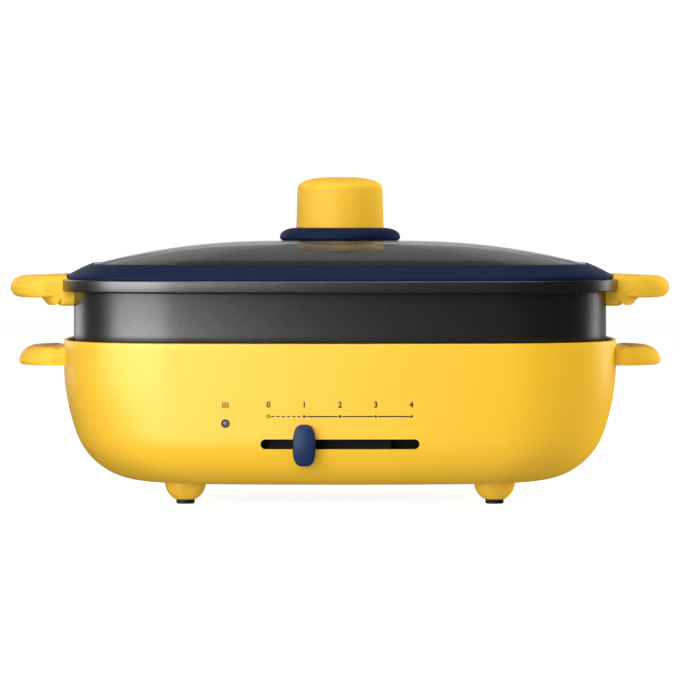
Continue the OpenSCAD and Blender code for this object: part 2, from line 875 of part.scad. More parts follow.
module thermostat_bracket() {
  bracket_set_in = 4;
  bracket_corner = 5;
  color(steel)
    translate([0, pinion_y, thermostat_top])
      difference() {
        linear_extrude(bracket_t)
          rounded_rect(bracket_w, thermostat_d - 2 * bracket_set_in, bracket_corner);
        for (x = [-1, 1])
          translate([x * bracket_hole_x, 0, -bite])
            cylinder(r = screw_r + fit, h = bracket_t + 2 * bite);
      }
}

module thermostat_screws() {
  color(steel)
    for (x = [-1, 1])
      translate([x * bracket_hole_x, pinion_y, thermostat_top])
        screw_up(screw_r, bracket_t + liner_t + 2, screw_head_r, screw_head_h);
}

module slider_guide() {
  low = rack_z - run;
  high = rack_z + rack_h + run;
  front = rack_front - run;
  back = guide_back + guide_t;
  ear_z = floor_z + guide_boss_h;
  color(black)
    difference() {
      union() {
        translate([-guide_half, front, low - guide_t])
          cube([2 * guide_half, back - front, guide_t]);
        translate([-guide_half, front, high])
          cube([2 * guide_half, back - front, guide_t]);
        for (z = [low - guide_t, high - guide_lip])
          translate([-guide_half, front - guide_lip, z])
            cube([2 * guide_half, guide_lip, guide_t + guide_lip]);
        translate([-guide_half, guide_back, low - guide_t])
          cube([2 * guide_half, guide_t, high - low + 2 * guide_t]);
        for (x = [-1, 1]) {
          translate([x * guide_boss_x - guide_ear_w / 2, guide_back, ear_z])
            cube([guide_ear_w, guide_t, low - ear_z]);
          translate([x * guide_boss_x - guide_ear_w / 2, guide_back, ear_z])
            cube([guide_ear_w, guide_boss_y - guide_back + guide_boss_r + 1, guide_ear_t]);
        }
      }
      translate([-guide_window, guide_back - bite, low])
        cube([2 * guide_window, guide_t + 2 * bite, high - low]);
      for (x = [-1, 1])
        translate([x * guide_boss_x, guide_boss_y, ear_z - bite])
          cylinder(r = screw_r + fit, h = guide_ear_t + 2 * bite);
    }
}

module guide_screws() {
  color(steel)
    for (x = [-1, 1])
      translate([x * guide_boss_x, guide_boss_y, floor_z + guide_boss_h + guide_ear_t])
        mirror([0, 0, 1])
          screw_up(screw_r, guide_boss_h + guide_ear_t - bite, screw_head_r, screw_head_h);
}

module lamp_bezel() {
  color(charcoal)
    translate([-lamp_x, lamp_y - lamp_proud, lamp_z])
      difference() {
        rod_y(lamp_r, bezel_len);
        translate([0, -bite, 0])
          rod_y(lens_r + fit / 2, bezel_len + 2 * bite);
      }
}

module lamp_lens() {
  color("#9A9C9E")
    translate([-lamp_x, lamp_y - lamp_proud / 2, lamp_z])
      rod_y(lens_r, bezel_len - lamp_proud / 2);
}

module lamp_body() {
  color(ceramic)
    translate([-lamp_x, lamp_y - lamp_proud + bezel_len, lamp_z])
      rod_y(lamp_r, lamp_len);
}

module inlet_socket() {
  socket_w = inlet_w - 2 * socket_wall;
  socket_h = inlet_h - 2 * socket_wall;
  color(black)
    difference() {
      union() {
        translate([-inlet_w / 2, inlet_back - inlet_len, inlet_z - inlet_h / 2])
          cube([inlet_w, inlet_len, inlet_h]);
        translate([-inlet_flange_w / 2, half_d, inlet_z - inlet_flange_h / 2])
          cube([inlet_flange_w, inlet_flange_t, inlet_flange_h]);
      }
      translate([-socket_w / 2, inlet_back - socket_depth, inlet_z - socket_h / 2])
        cube([socket_w, socket_depth + bite, socket_h]);
      for (x = [-1, 1])
        translate([x * inlet_pin_x, 0, inlet_z])
          rod_y(inlet_pin_r + fit / 2, inlet_back - socket_depth + bite);
      for (x = [-1, 1])
        translate([x * inlet_screw_x, half_d - bite, inlet_z])
          rod_y(screw_r + fit, inlet_flange_t + 2 * bite);
    }
}

module inlet_pins() {
  color(brass)
    for (x = [-1, 1])
      translate([x * inlet_pin_x, inlet_back - inlet_len - pin_tail, inlet_z])
        rod_y(inlet_pin_r, inlet_len - socket_depth + pin_tail + pin_proud);
}

module inlet_screws() {
  color(steel)
    for (x = [-1, 1])
      translate([x * inlet_screw_x, half_d + inlet_flange_t, inlet_z])
        rotate([90, 0, 0])
          screw_up(screw_r, inlet_flange_t + wall + inlet_boss_len - 2 * bite, screw_head_r, screw_head_h);
}

module terminal_block() {
  color(ceramic)
    translate([-block_w / 2, block_y - block_d / 2, floor_z])
      cube([block_w, block_d, block_h]);
}

module thermal_fuse() {
  strap_w = 8;
  strap_t = 1;
  color(brass) {
    translate([fuse_x - fuse_len / 2, fuse_y, fuse_z])
      rotate([0, 90, 0])
        cylinder(r = fuse_r, h = fuse_len);
    translate([fuse_x - strap_w / 2, fuse_y - fuse_r, fuse_z])
      cube([strap_w, 2 * fuse_r, liner_z - fuse_z]);
    translate([fuse_x - strap_w / 2, fuse_y - 2 * fuse_r, liner_z - strap_t])
      cube([strap_w, 4 * fuse_r, strap_t]);
  }
}

// Ends of the wires, and how far each wire runs straight on from its end
pin_lead = 8;
feed_lead = 60;
switched_lead = 70;
terminal_lead = 14;
block_lead = 24;
fuse_lead = 16;
lamp_lead = 9;
tab_lead = 20;
pin_end_y = inlet_back - inlet_len - pin_tail;
block_mid_z = floor_z + block_h / 2;
thermostat_back = pinion_y + thermostat_d / 2 + thermostat_tab;
terminal_low_z = element_end_z - element_pin_h;

module wire_live_in() {
  color("#7A2E22")
    wire([inlet_pin_x, pin_end_y, inlet_z], [0, -pin_lead, 0],
      [tab_x, block_y, floor_z + block_h], [0, 0, pin_lead], wire_r);
}

module wire_neutral_in() {
  color("#2B5E8C")
    wire([-inlet_pin_x, pin_end_y, inlet_z], [0, -pin_lead, 0],
      [-tab_x, block_y, floor_z + block_h], [0, 0, pin_lead], wire_r);
}

module wire_live_feed() {
  color("#7A2E22")
    wire([tab_x, block_y - block_d / 2, block_mid_z], [0, -feed_lead, 0],
      [tab_x, thermostat_back, tab_z], [0, feed_lead, 0], wire_r);
}

module wire_switched() {
  color("#4C4C50")
    wire([-tab_x, thermostat_back, tab_z], [0, switched_lead, 0],
      [element_end_x, loop_y, terminal_low_z], [0, 0, -terminal_lead], wire_r);
}

module wire_fuse_in() {
  color("#2B5E8C")
    wire([-tab_x, block_y - block_d / 2, block_mid_z], [0, -block_lead, 0],
      [fuse_x + fuse_len / 2, fuse_y, fuse_z], [fuse_lead, 0, 0], wire_r);
}

module wire_fuse_out() {
  color("#2B5E8C")
    wire([fuse_x - fuse_len / 2, fuse_y, fuse_z], [-fuse_lead, 0, 0],
      [-element_end_x, loop_y, terminal_low_z], [0, 0, -terminal_lead], wire_r);
}

module wires_lamp() {
  lead_y = lamp_y - lamp_proud + bezel_len + lamp_len;
  color("#4C4C50")
    for (y = [-1, 1])
      wire([-lamp_x - y * lamp_lead_gap, lead_y, lamp_z], [0, lamp_lead, 0],
        [-thermostat_w / 2 - thermostat_tab, pinion_y + y * tab_y, tab_z], [-tab_lead, 0, 0], lamp_wire_r);
}

// Slider knob: a pill with a crowned front, hollow behind for the stem
stem_h = slot_h - 2 * run - 0.2;
stem_depth = 6;
knob_back = half_d + 2 * run;
module stem(len, grow = 0) {
  rotate([90, 0, 0])
    linear_extrude(len)
      rounded_rect(stem_w + 2 * grow, stem_h + 2 * grow, stem_h / 2 + grow - fit);
}
module slider_knob() {
  side_r = slider_w * 0.8;
  tall_r = slider_h * 0.9;
  pill_r = slider_w / 2 - 0.6;
  color(navy)
    translate([slider_x, -knob_back, slot_z])
      difference() {
        intersection() {
          rotate([90, 0, 0])
            linear_extrude(slider_d)
              rounded_rect(slider_w, slider_h, pill_r);
          translate([0, side_r - slider_d, 0])
            cylinder(r = side_r, h = 2 * slider_h, center = true);
          translate([0, tall_r - slider_d, 0])
            rotate([0, 90, 0])
              cylinder(r = tall_r, h = 2 * slider_w, center = true);
        }
        translate([0, bite, 0])
          stem(stem_depth + bite, fit);
      }
}

module slider_rack() {
  tip_half = tooth_pitch / 4 - backlash / 4 - addendum * tan(pressure);
  root_half = tooth_pitch / 4 - backlash / 4 + dedendum * tan(pressure);
  first = ceil((slider_x - rack_half + root_half) / tooth_pitch);
  last = floor((slider_x + rack_half - root_half) / tooth_pitch);
  stem_tip = -knob_back - stem_depth + fit;
  color(black) {
    translate([slider_x - rack_half, rack_front, rack_z])
      cube([2 * rack_half, rack_t, rack_h]);
    for (i = [first : last])
      translate([i * tooth_pitch, 0, rack_z])
        linear_extrude(rack_h)
          polygon([[-root_half, rack_root - bite], [root_half, rack_root - bite],
            [root_half, rack_root], [tip_half, rack_tip], [-tip_half, rack_tip], [-root_half, rack_root]]);
    translate([slider_x, rack_front + bite, slot_z])
      stem(rack_front + bite - stem_tip);
  }
}

// Involute flank: how far it has turned from the base circle at a radius
base_r = pitch_r * cos(pressure);
function flank_turn(r) =
  let (roll = sqrt(max(pow(r / base_r, 2) - 1, 0))) roll * 180 / PI - atan(roll);
flank_radii = [for (i = [0 : 4]) pitch_r - dedendum + (addendum + dedendum) * i / 4];
tooth_half_turn = (tooth_pitch / 2 - backlash / 2) / (2 * pitch_r) * 180 / PI + flank_turn(pitch_r);
function flank(r, middle, side) =
  let (a = middle + side * (tooth_half_turn - flank_turn(r))) [r * cos(a), r * sin(a)];

module pinion() {
  middles = [for (i = [0 : pinion_teeth - 1]) -90 + (i + 0.5) * 360 / pinion_teeth];
  color(ceramic)
    translate([0, pinion_y, pinion_z])
      difference() {
        linear_extrude(pinion_t)
          polygon([for (m = middles)
            each concat([for (r = flank_radii) flank(r, m, -1)],
              [for (r = reversed(flank_radii)) flank(r, m, 1)])]);
        translate([0, 0, -bite])
          cylinder(r = spindle_r + fit / 2, h = pinion_t + 2 * bite);
      }
}

module thermostat_spindle() {
  low = pinion_z - 2 * clip_t - run;
  color(steel)
    translate([0, pinion_y, low])
      cylinder(r = spindle_r, h = thermostat_z + spindle_bore_h - run - low);
}

module pinion_clip() {
  color(steel)
    translate([0, pinion_y, pinion_z - clip_t])
      difference() {
        cylinder(r = spindle_r + 2.5, h = clip_t);
        translate([0, 0, -bite])
          cylinder(r = spindle_r + fit / 2, h = clip_t + 2 * bite);
      }
}

// Pan: a deep dish with a rim flange, its wall drawn in below the housing's rim
fillet_steps = 4;
flange_round = 0.8;
function fillet(off, z, r) =
  [for (i = [0 : fillet_steps])
    let (a = 90 * i / fillet_steps) [off + r * (1 - sin(a)), z - r * cos(a)]];
pan_section = concat(
  fillet(pan_off + pan_taper, wall_low_z, pan_fillet),
  [[pan_off, taper_top_z], [pan_off, flange_z],
   [flange_round - flange_over, flange_z], [-flange_over, flange_z + flange_round],
   [-flange_over, flange_top - flange_round], [flange_round - flange_over, flange_top],
   [mouth_off - flange_round, flange_top], [mouth_off, flange_top - flange_round],
   [mouth_off, taper_top_z]],
  reversed(fillet(mouth_off + pan_taper, pan_floor_z + inner_fillet, inner_fillet)));
pan_screw_off = 2;
pan_screw_y = 28;
pan_screw_h = flange_t - 2.4;
pan_screw_x = side_x(pan_screw_off, pan_screw_y);

module pan() {
  rib_half = half_d - mouth_off - pan_taper - inner_fillet;
  color(charcoal)
    difference() {
      union() {
        skin(section_rings(pan_section));
        for (i = [0 : rib_count - 1])
          let (x = (i - (rib_count - 1) / 2) * rib_pitch, cut = 0.35 * max(abs(x) - span_x, 0))
          translate([x, 0, pan_floor_z - bite])
            rotate([90, 0, 0])
              linear_extrude(2 * (rib_half - 4 - cut), center = true)
                polygon([[-rib_w / 2, 0], [rib_w / 2, 0], [rib_w / 2, bite],
                  [rib_w / 4, bite + rib_h], [-rib_w / 4, bite + rib_h], [-rib_w / 2, bite]]);
      }
      for (x = [-1, 1], y = [-1, 1])
        translate([x * pan_screw_x, y * pan_screw_y, flange_z - bite])
          cylinder(r = handle_screw_r + fit, h = pan_screw_h + bite);
    }
}

// Side view of the pan's handle: a lip over the flange, a round nose and a jaw under the flange
jaw_drop = 9.4;
jaw_reach = 4;
finger_x = 9.6;
module pan_handle_side() {
  tip = half_w + pan_handle_reach;
  nose_r = pan_handle_t / 2;
  root = half_w - 4 * wall;
  top = flange_top + pan_handle_lip;
  low = flange_z - jaw_drop;
  nose_fall = 0.4;
  nose_z = top - nose_fall - nose_r;
  translate([tip - nose_r, nose_z])
    circle(nose_r);
  polygon([[root, low], [half_w + jaw_reach, low], [half_w + jaw_reach + 2, nose_z - nose_r + 0.4],
    [half_w + finger_x - 3, nose_z - nose_r], [half_w + finger_x - 1, low + 0.6],
    [half_w + finger_x, low], [half_w + finger_x + 1, low + 0.6],
    [half_w + finger_x + 4, nose_z - nose_r], [tip - nose_r, nose_z - nose_r],
    [tip - nose_r, nose_z + nose_r], [half_w, top], [root, top]]);
}

module pan_handle() {
  top = flange_top + pan_handle_lip;
  low = flange_z - jaw_drop;
  difference() {
    intersection() {
      rotate([90, 0, 0])
        linear_extrude(pan_handle_w, center = true)
          pan_handle_side();
      translate([0, 0, low - bite])
        linear_extrude(top - low + 2 * bite)
          handle_plan(pan_handle_w, half_w + pan_handle_reach);
    }
    outline_prism(pan_off - fit, low - bite, flange_z);
    outline_prism(-flange_over - fit, flange_z - fit, flange_top + fit);
    outline_prism(lid_inset - 2 * run, flange_top, top + bite);
    for (y = [-1, 1])
      translate([pan_screw_x, y * pan_screw_y, low - bite]) {
        cylinder(r = handle_screw_r + fit, h = flange_z - low + 2 * bite);
        cylinder(r = handle_head_r + fit, h = bite + screw_head_h + 1);
      }
  }
}

module pan_handle_screws() {
  low = flange_z - jaw_drop + screw_head_h + 1;
  color(steel)
    for (x = [-1, 1], y = [-1, 1])
      translate([x * pan_screw_x, y * pan_screw_y, low])
        screw_up(handle_screw_r, flange_z - low + pan_screw_h - fit, handle_head_r, screw_head_h);
}

// Glass: flat in the middle, falling away to a rim that follows the pan, with a hole for the seat
dome_ways = [0, 0.08, 0.2, 0.35, 0.5, 0.65, 0.8, 0.9, 1];
function dome_ring(way, down) =
  [for (a = outline_angles)
    let (edge = outline_point(band_in, a), mid = plateau_r * [cos(a), sin(a)],
         power = dome_power_front + (dome_power_end - dome_power_front) * pow(cos(a), 2),
         p = (1 - way) * mid + way * edge)
    [p.x, p.y, plateau_z - dome_rise * pow(way, power) - down]];
function glass_rings(down) = concat(
  [for (w = dome_ways) dome_ring(w, down)],
  [ring((band_in + glass_off) / 2, glass_z((band_in + glass_off) / 2) - down),
   ring(glass_off, glass_z(glass_off) - down)]);
spigot_r = seat_r - seat_shoulder;

module lid_glass() {
  color(clear)
    difference() {
      skin(concat(glass_rings(glass_t), reversed(glass_rings(0))));
      translate([0, 0, plateau_z - glass_t - bite])
        cylinder(r = spigot_r + fit, h = glass_t + 2 * bite);
    }
}

// Soft rim: a sloping band over the glass, a lip under it and a skirt inside the pan's mouth
skirt_in = mouth_off + run + 0.2;
skirt_t = 2.8;
skirt_h = 3.9;
lip_off = 20;
groove_off = glass_off - 0.2;
module lid_ring() {
  color(navy)
    skin(section_rings([
      [lid_inset + 0.6, flange_top], [lid_inset, flange_top + 0.6],
      [lid_inset, flange_top + lip_h - 0.6], [lid_inset + 0.6, flange_top + lip_h],
      [band_low - 0.3, flange_top + lip_h], [band_low, band_z(band_low)],
      [(band_low + ring_in) / 2, band_z((band_low + ring_in) / 2)],
      [ring_in - 0.5, band_z(ring_in - 0.5)], [ring_in, band_z(ring_in) - 0.4],
      [ring_in, glass_z(ring_in) + fit], [groove_off, glass_z(groove_off) + fit],
      [groove_off, glass_z(groove_off) - glass_t - fit], [lip_off, glass_z(lip_off) - glass_t - fit],
      [lip_off, glass_z(lip_off) - glass_t - 1.3],
      [skirt_in + skirt_t, glass_z(skirt_in + skirt_t) - glass_t - 1.3],
      [skirt_in + skirt_t, flange_top - skirt_h], [skirt_in, flange_top - skirt_h],
      [skirt_in, flange_top]]), closed = true);
}

shank_r = 2.5;
shank_grip = 14;
collar_top = plateau_z + collar_h;
module knob_collar() {
  low_round = 1.4;
  edge_band = 0.3;
  top_round = collar_h - low_round - edge_band;
  color(navy)
    translate([0, 0, plateau_z])
      difference() {
        rotate_extrude()
          union() {
            square([collar_r - top_round, collar_h]);
            square([collar_r - low_round, collar_h - top_round]);
            translate([0, low_round])
              square([collar_r, collar_h - top_round - low_round]);
            translate([collar_r - low_round, low_round])
              circle(low_round);
            translate([collar_r - top_round, collar_h - top_round])
              intersection() {
                circle(top_round);
                square(top_round);
              }
          }
        translate([0, 0, -bite])
          cylinder(r = shank_r + fit, h = collar_h + 2 * bite);
      }
}

module lid_knob() {
  crown_r = knob_top_r - knob_round;
  crown_sphere = (pow(crown_r, 2) + pow(knob_crown, 2)) / (2 * knob_crown);
  shoulder = knob_h - knob_crown - knob_round;
  knob_wall = 3;
  boss_r = 8;
  cavity_h = shoulder - knob_wall;
  color(yellow)
    translate([0, 0, collar_top])
      difference() {
        rotate_extrude()
          union() {
            polygon([[0, 0], [knob_r, 0], [knob_top_r, shoulder], [0, shoulder]]);
            square([crown_r, shoulder + knob_round]);
            translate([crown_r, shoulder])
              intersection() {
                circle(knob_round);
                square(knob_round);
              }
            intersection() {
              translate([0, knob_h - crown_sphere])
                circle(crown_sphere, $fn = 256);
              translate([0, shoulder])
                square([crown_r, knob_h - shoulder]);
            }
          }
        translate([0, 0, -bite])
          rotate_extrude()
            translate([boss_r, 0])
              square([knob_top_r - knob_wall - boss_r, cavity_h + bite]);
        translate([0, 0, -bite])
          cylinder(r = shank_r + fit, h = cavity_h + bite);
      }
}

seat_low = plateau_z - glass_t - seat_h;
module knob_seat() {
  seat_round = 2.6;
  color(yellow)
    translate([0, 0, seat_low])
      difference() {
        rotate_extrude()
          union() {
            square([seat_r - seat_round, seat_h]);
            square([spigot_r, seat_h + glass_t]);
            translate([0, seat_round])
              square([seat_r, seat_h - seat_round]);
            translate([seat_r - seat_round, seat_round])
              intersection() {
                circle(seat_round);
                translate([0, -seat_round])
                  square(seat_round);
              }
          }
        translate([0, 0, -bite])
          cylinder(r = shank_r + fit, h = seat_h + glass_t + 2 * bite);
      }
}

washer_r = 8;
washer_t = 1;
module knob_washer() {
  color(steel)
    translate([0, 0, seat_low - washer_t])
      difference() {
        cylinder(r = washer_r, h = washer_t);
        translate([0, 0, -bite])
          cylinder(r = shank_r + fit, h = washer_t + 2 * bite);
      }
}

module knob_screw() {
  low = seat_low - washer_t;
  color(steel)
    translate([0, 0, low])
      screw_up(shank_r, collar_top - low + shank_grip, shank_r + 2, 3);
}

base_housing();
bottom_cover();
bottom_screws();
for (i = [0 : len(pad_names) - 1])
  foot_pad(foot_places[i]);
color(yellow) on_side(-1) base_handle();  // base_handle_left
color(yellow) on_side(1) base_handle();  // base_handle_right
base_handle_screws();
liner_tray();
liner_screws();
heating_element();
element_terminals();
element_bushes();
element_clips();
pot_rests();
thermostat_body();
thermostat_bracket();
thermostat_screws();
slider_guide();
guide_screws();
lamp_bezel();
lamp_lens();
lamp_body();
inlet_socket();
inlet_pins();
inlet_screws();
terminal_block();
thermal_fuse();
wire_live_in();
wire_neutral_in();
wire_live_feed();
wire_switched();
wire_fuse_in();
wire_fuse_out();
wires_lamp();
slider_knob();
slider_rack();
thermostat_spindle();
pinion();
pinion_clip();
pan();
color(yellow) on_side(-1) pan_handle();  // pan_handle_left
color(yellow) on_side(1) pan_handle();  // pan_handle_right
pan_handle_screws();
lid_glass();
lid_ring();
knob_collar();
lid_knob();
knob_seat();
knob_washer();
knob_screw();
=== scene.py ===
# %% [markdown]
# # An indoor electric grill
#
# A yellow moulded housing with a sliding temperature control, a deep grey pan that lifts out by its
# handles, and a smoked glass lid with a navy rim and a round knob. The packed part is the fixed frame.
# Each cell below dresses it: it either gives a solid a better finish, or models a finer piece in its place.
# Lengths are millimetres, as on a drawing, and become metres when a piece is finished.

# %% Load the frame
import json
from math import atan2, ceil, copysign, cos, pi, radians, sin, sqrt, tan

import bmesh
import bpy
from bmesh.types import BMEdge, BMVert
from mathutils import Matrix, Vector


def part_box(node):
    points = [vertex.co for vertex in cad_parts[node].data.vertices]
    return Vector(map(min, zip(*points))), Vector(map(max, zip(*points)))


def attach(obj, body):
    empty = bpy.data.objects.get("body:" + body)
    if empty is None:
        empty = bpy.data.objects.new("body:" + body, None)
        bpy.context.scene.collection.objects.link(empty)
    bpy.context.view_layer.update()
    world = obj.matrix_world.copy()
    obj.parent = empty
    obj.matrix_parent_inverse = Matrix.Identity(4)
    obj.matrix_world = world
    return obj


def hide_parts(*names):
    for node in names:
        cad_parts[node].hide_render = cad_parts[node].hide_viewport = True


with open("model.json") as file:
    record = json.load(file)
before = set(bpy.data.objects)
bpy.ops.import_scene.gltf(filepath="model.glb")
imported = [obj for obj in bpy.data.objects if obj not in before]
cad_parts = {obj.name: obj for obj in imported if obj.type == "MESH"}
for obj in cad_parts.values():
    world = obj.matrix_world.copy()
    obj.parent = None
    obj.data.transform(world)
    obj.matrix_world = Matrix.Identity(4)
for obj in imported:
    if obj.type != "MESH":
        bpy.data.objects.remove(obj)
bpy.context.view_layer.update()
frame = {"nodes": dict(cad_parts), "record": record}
scene = bpy.context.scene
MM = 0.001


def low(node):
    """Lowest corner of a solid, in millimetres."""
    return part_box(node)[0] / MM


def high(node):
    """Highest corner of a solid, in millimetres."""
    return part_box(node)[1] / MM


print("solids in the frame:", len(frame["nodes"]))

# %% [markdown]
# ## Camera
#
# The photograph is a catalogue view from straight in front, a little above the table. Its upright edges
# hardly converge, so the camera stands 3 m away with a long lens, and the lens follows from the width of
# the frame at the object. Tilting the camera is enough, so no lens shift is needed.

# %% Camera
CAMERA_AT = Vector((0, -2.998, 0.195))
CAMERA_AIM = Vector((0, 0, 0.1007))
FRAME_WIDTH = 0.4352
SENSOR = 36

lens_data = bpy.data.cameras.new("camera")
lens_data.sensor_width = SENSOR
lens_data.lens = SENSOR * (CAMERA_AIM - CAMERA_AT).length / FRAME_WIDTH
camera = bpy.data.objects.new("camera", lens_data)
camera.location = CAMERA_AT
camera.rotation_euler = (CAMERA_AIM - CAMERA_AT).to_track_quat("-Z", "Y").to_euler()
scene.collection.objects.link(camera)
scene.camera = camera
print("lens:", round(lens_data.lens, 1), "mm")

# %% [markdown]
# ## Shader sums
#
# A finish is a small network of nodes. Wiring them one by one is long to read, so one class stands for a
# socket and turns Python's own signs into Math nodes: `0.4 + 0.1 * cloud` adds two of them. Any other node
# comes from its `node` method, which sets the node's settings before its sockets.

# %% A socket that can be added and multiplied
class Flow:
    """One socket of a shader; sums on it add Math nodes to the shader's tree."""

    def __init__(self, tree, socket=None):
        self.tree = tree
        self.socket = socket

    def node(self, kind, settings=None, inputs=None, output=0):
        """Adds a node: first its settings, then the values or links of its sockets."""
        made = self.tree.nodes.new("ShaderNode" + kind)
        for name, value in (settings or {}).items():
            if name == "stops":
                set_stops(made.color_ramp, value)
            else:
                setattr(made, name, value)
        for name, value in (inputs or {}).items():
            if isinstance(value, Flow):
                self.tree.links.new(value.socket, made.inputs[name])
            else:
                made.inputs[name].default_value = value
        return Flow(self.tree, made.outputs[output] if made.outputs else None)

    def math(self, operation, first, second):
        return self.node("Math", {"operation": operation}, {0: first, 1: second})

    def __add__(self, other):
        return self.math("ADD", self, other)

    def __radd__(self, other):
        return self.math("ADD", other, self)

    def __sub__(self, other):
        return self.math("SUBTRACT", self, other)

    def __rsub__(self, other):
        return self.math("SUBTRACT", other, self)

    def __mul__(self, other):
        return self.math("MULTIPLY", self, other)

    def __rmul__(self, other):
        return self.math("MULTIPLY", other, self)


def set_stops(ramp, stops):
    """Sets a colour ramp's stops, given as (place, colour)."""
    while len(ramp.elements) < len(stops):
        ramp.elements.new(1)
    for element, (place, colour) in zip(ramp.elements, stops):
        element.position = place
        element.color = colour


def noise(place, size, detail=2):
    """Noise from 0 to 1 whose features are about size millimetres across."""
    inputs = {"Vector": place, "Scale": 1 / (size * MM), "Detail": detail}
    return place.node("TexNoise", inputs=inputs)


def mix(factor, first, second):
    """Colour between two colours."""
    return factor.node("Mix", {"data_type": "RGBA"}, {0: factor, 6: first, 7: second}, output=2)


def bump(height, strength, depth):
    """Normal of a surface that is raised by height, from 0 to 1, times depth millimetres."""
    inputs = {"Strength": strength, "Distance": depth * MM, "Height": height}
    return height.node("Bump", inputs=inputs)


print("sums:", [name for name in vars(Flow) if name.startswith("__r")])

# %% [markdown]
# ## Finishes
#
# Every finish starts from the same three nodes: the place on the piece, a Principled shader and the output.
# The place is the Object coordinate. All the pieces have their origin at the frame's origin, so a grain
# measured in millimetres keeps its size on each of them and moves with the piece.

# %% What every finish starts from
FINISHES = {}


def finish(slot, **constants):
    """Starts the finish of a slot: its place, and a shader with these values on its own sockets."""
    material = bpy.data.materials.new(slot)
    material.use_nodes = True
    material.node_tree.nodes.clear()
    flow = Flow(material.node_tree)
    shader = flow.node("BsdfPrincipled")
    flow.node("OutputMaterial", inputs={"Surface": shader})
    inputs = shader.socket.node.inputs
    for name, value in constants.items():
        inputs[name.replace("_", " ")].default_value = value
    FINISHES[slot] = material
    return flow.node("TexCoord", output="Object"), inputs


def feed(inputs, **flows):
    """Links what changes over the surface to the shader's sockets."""
    for name, flow in flows.items():
        flow.tree.links.new(flow.socket, inputs[name.replace("_", " ")])


def linear(red, green, blue):
    """A colour as a screen shows it, from 0 to 255, as the shader wants it."""
    shown = [value / 255 for value in (red, green, blue)]
    return [v / 12.92 if v < 0.04045 else ((v + 0.055) / 1.055) ** 2.4 for v in shown] + [1]


def tinted(colour, factor):
    """A lighter or darker copy of a colour."""
    return [min(value * factor, 1) for value in colour[:3]] + [1]


# %% [markdown]
# ## Moulded plastic and rubber
#
# The housing, the handles and the knobs are injection moulded. Up close such plastic shows a fine even
# grain from the polished mould, and over a whole panel its tone and gloss drift a little. Two noises give
# this: a broad one for tone and gloss, and a fine one for grain, which also feeds a shallow bump. Rubber
# and silicone are the same recipe with a duller surface and a coarser grain.

# %% Moulded finishes
def moulded(slot, colour, gloss, grain, depth, drift=0.04, **constants):
    """A moulded surface: gloss is its mean roughness, grain and depth are in millimetres."""
    place, inputs = finish(slot, **constants)
    cloud = noise(place, 60, 3)
    grains = noise(place, grain, 2)
    tone = mix(cloud, tinted(colour, 1 - drift), tinted(colour, 1 + drift))
    fleck = mix(grains, tinted(colour, 0.97), tinted(colour, 1.03))
    mixed = tone.node("Mix", {"data_type": "RGBA"}, {0: 0.4, 6: tone, 7: fleck}, output=2)
    rough = gloss + 0.10 * (cloud - 0.5) + 0.08 * (grains - 0.5)
    feed(inputs, Base_Color=mixed, Roughness=rough, Normal=bump(grains, 0.35, depth))


moulded("yellow_plastic", linear(243, 189, 27), 0.42, 0.45, 0.02, IOR=1.6)
moulded("yellow_matt", linear(238, 186, 48), 0.62, 0.45, 0.03, Specular_IOR_Level=0.2)
moulded("navy_plastic", linear(29, 47, 85), 0.5, 0.4, 0.02, Specular_IOR_Level=0.2)
# A matt copy of the navy plastic for the collar. Its darker tone is painted shade, and its low specular is
# the matt finish.
moulded("navy_matt_painted_shade", linear(16, 29, 56), 0.6, 0.4, 0.02, Specular_IOR_Level=0.06)
moulded("navy_silicone", linear(14, 29, 58), 0.6, 0.6, 0.03, drift=0.08, Specular_IOR_Level=0.08)
moulded("black_plastic", linear(13, 13, 15), 0.5, 0.7, 0.05, Specular_IOR_Level=0.3)
moulded("grey_plastic", linear(44, 43, 41), 0.5, 0.9, 0.08)
moulded("black_rubber", linear(20, 20, 21), 0.75, 0.5, 0.06, drift=0.15)
moulded("wire_red", linear(128, 44, 34), 0.45, 1.5, 0.02, drift=0.1)
moulded("wire_blue", linear(42, 92, 140), 0.45, 1.5, 0.02, drift=0.1)
moulded("wire_grey", linear(78, 78, 82), 0.45, 1.5, 0.02, drift=0.1)
print("moulded finishes:", sorted(FINISHES))

# %% [markdown]
# ## Pan coating
#
# The pan is cast aluminium under a dark non-stick coat. The coat has metal flakes in it, so it shines more
# than black plastic does and its highlights are broad and grey. A fine noise, cut off by a ramp, gives the
# paler flakes; the same noise and a coarser orange peel raise the surface. High metalness gives the sheen.

# %% Pan coating
place, inputs = finish("pan_coating", Metallic=0.95)
peel = noise(place, 2.2, 2)
flakes = noise(place, 0.45, 3)
flake_stops = [(0.5, (0, 0, 0, 1)), (0.72, (1, 1, 1, 1))]
flake_ramp = flakes.node("ValToRGB", {"stops": flake_stops}, {"Fac": flakes})
coat_tone = mix(flake_ramp, linear(91, 91, 92), linear(112, 111, 110))
coat_height = 0.6 * peel + 0.4 * flakes
feed(inputs, Base_Color=coat_tone, Roughness=0.28 + 0.12 * peel, Normal=bump(coat_height, 0.4, 0.05))
print("pan coating made")

# %% [markdown]
# ## Smoked glass
#
# The lid is tempered glass with a grey tint. A see-through shader with a tinted colour does this: a wall of
# it lets about a quarter of the light through and scatters a little. Its gloss is a coat, which reflects most
# where the glass is seen at a shallow angle, so the dome is pale along its top and dark above the rim. Thin
# glass hardly bends what is seen through it, so its index is close to that of air. Faint smears change only
# its roughness.

# %% Smoked glass
GLASS_TINT = (0.25, 0.25, 0.247, 1)
place, inputs = finish(
    "smoked_glass",
    Base_Color=GLASS_TINT,
    Transmission_Weight=0.93,
    IOR=1.003,
    Coat_Weight=0.22,
    Coat_IOR=1.5,
    Coat_Roughness=0.05,
)
smears = noise(place, 35, 4)
feed(inputs, Roughness=0.01 + 0.01 * smears)
print("glass tint:", GLASS_TINT[0])

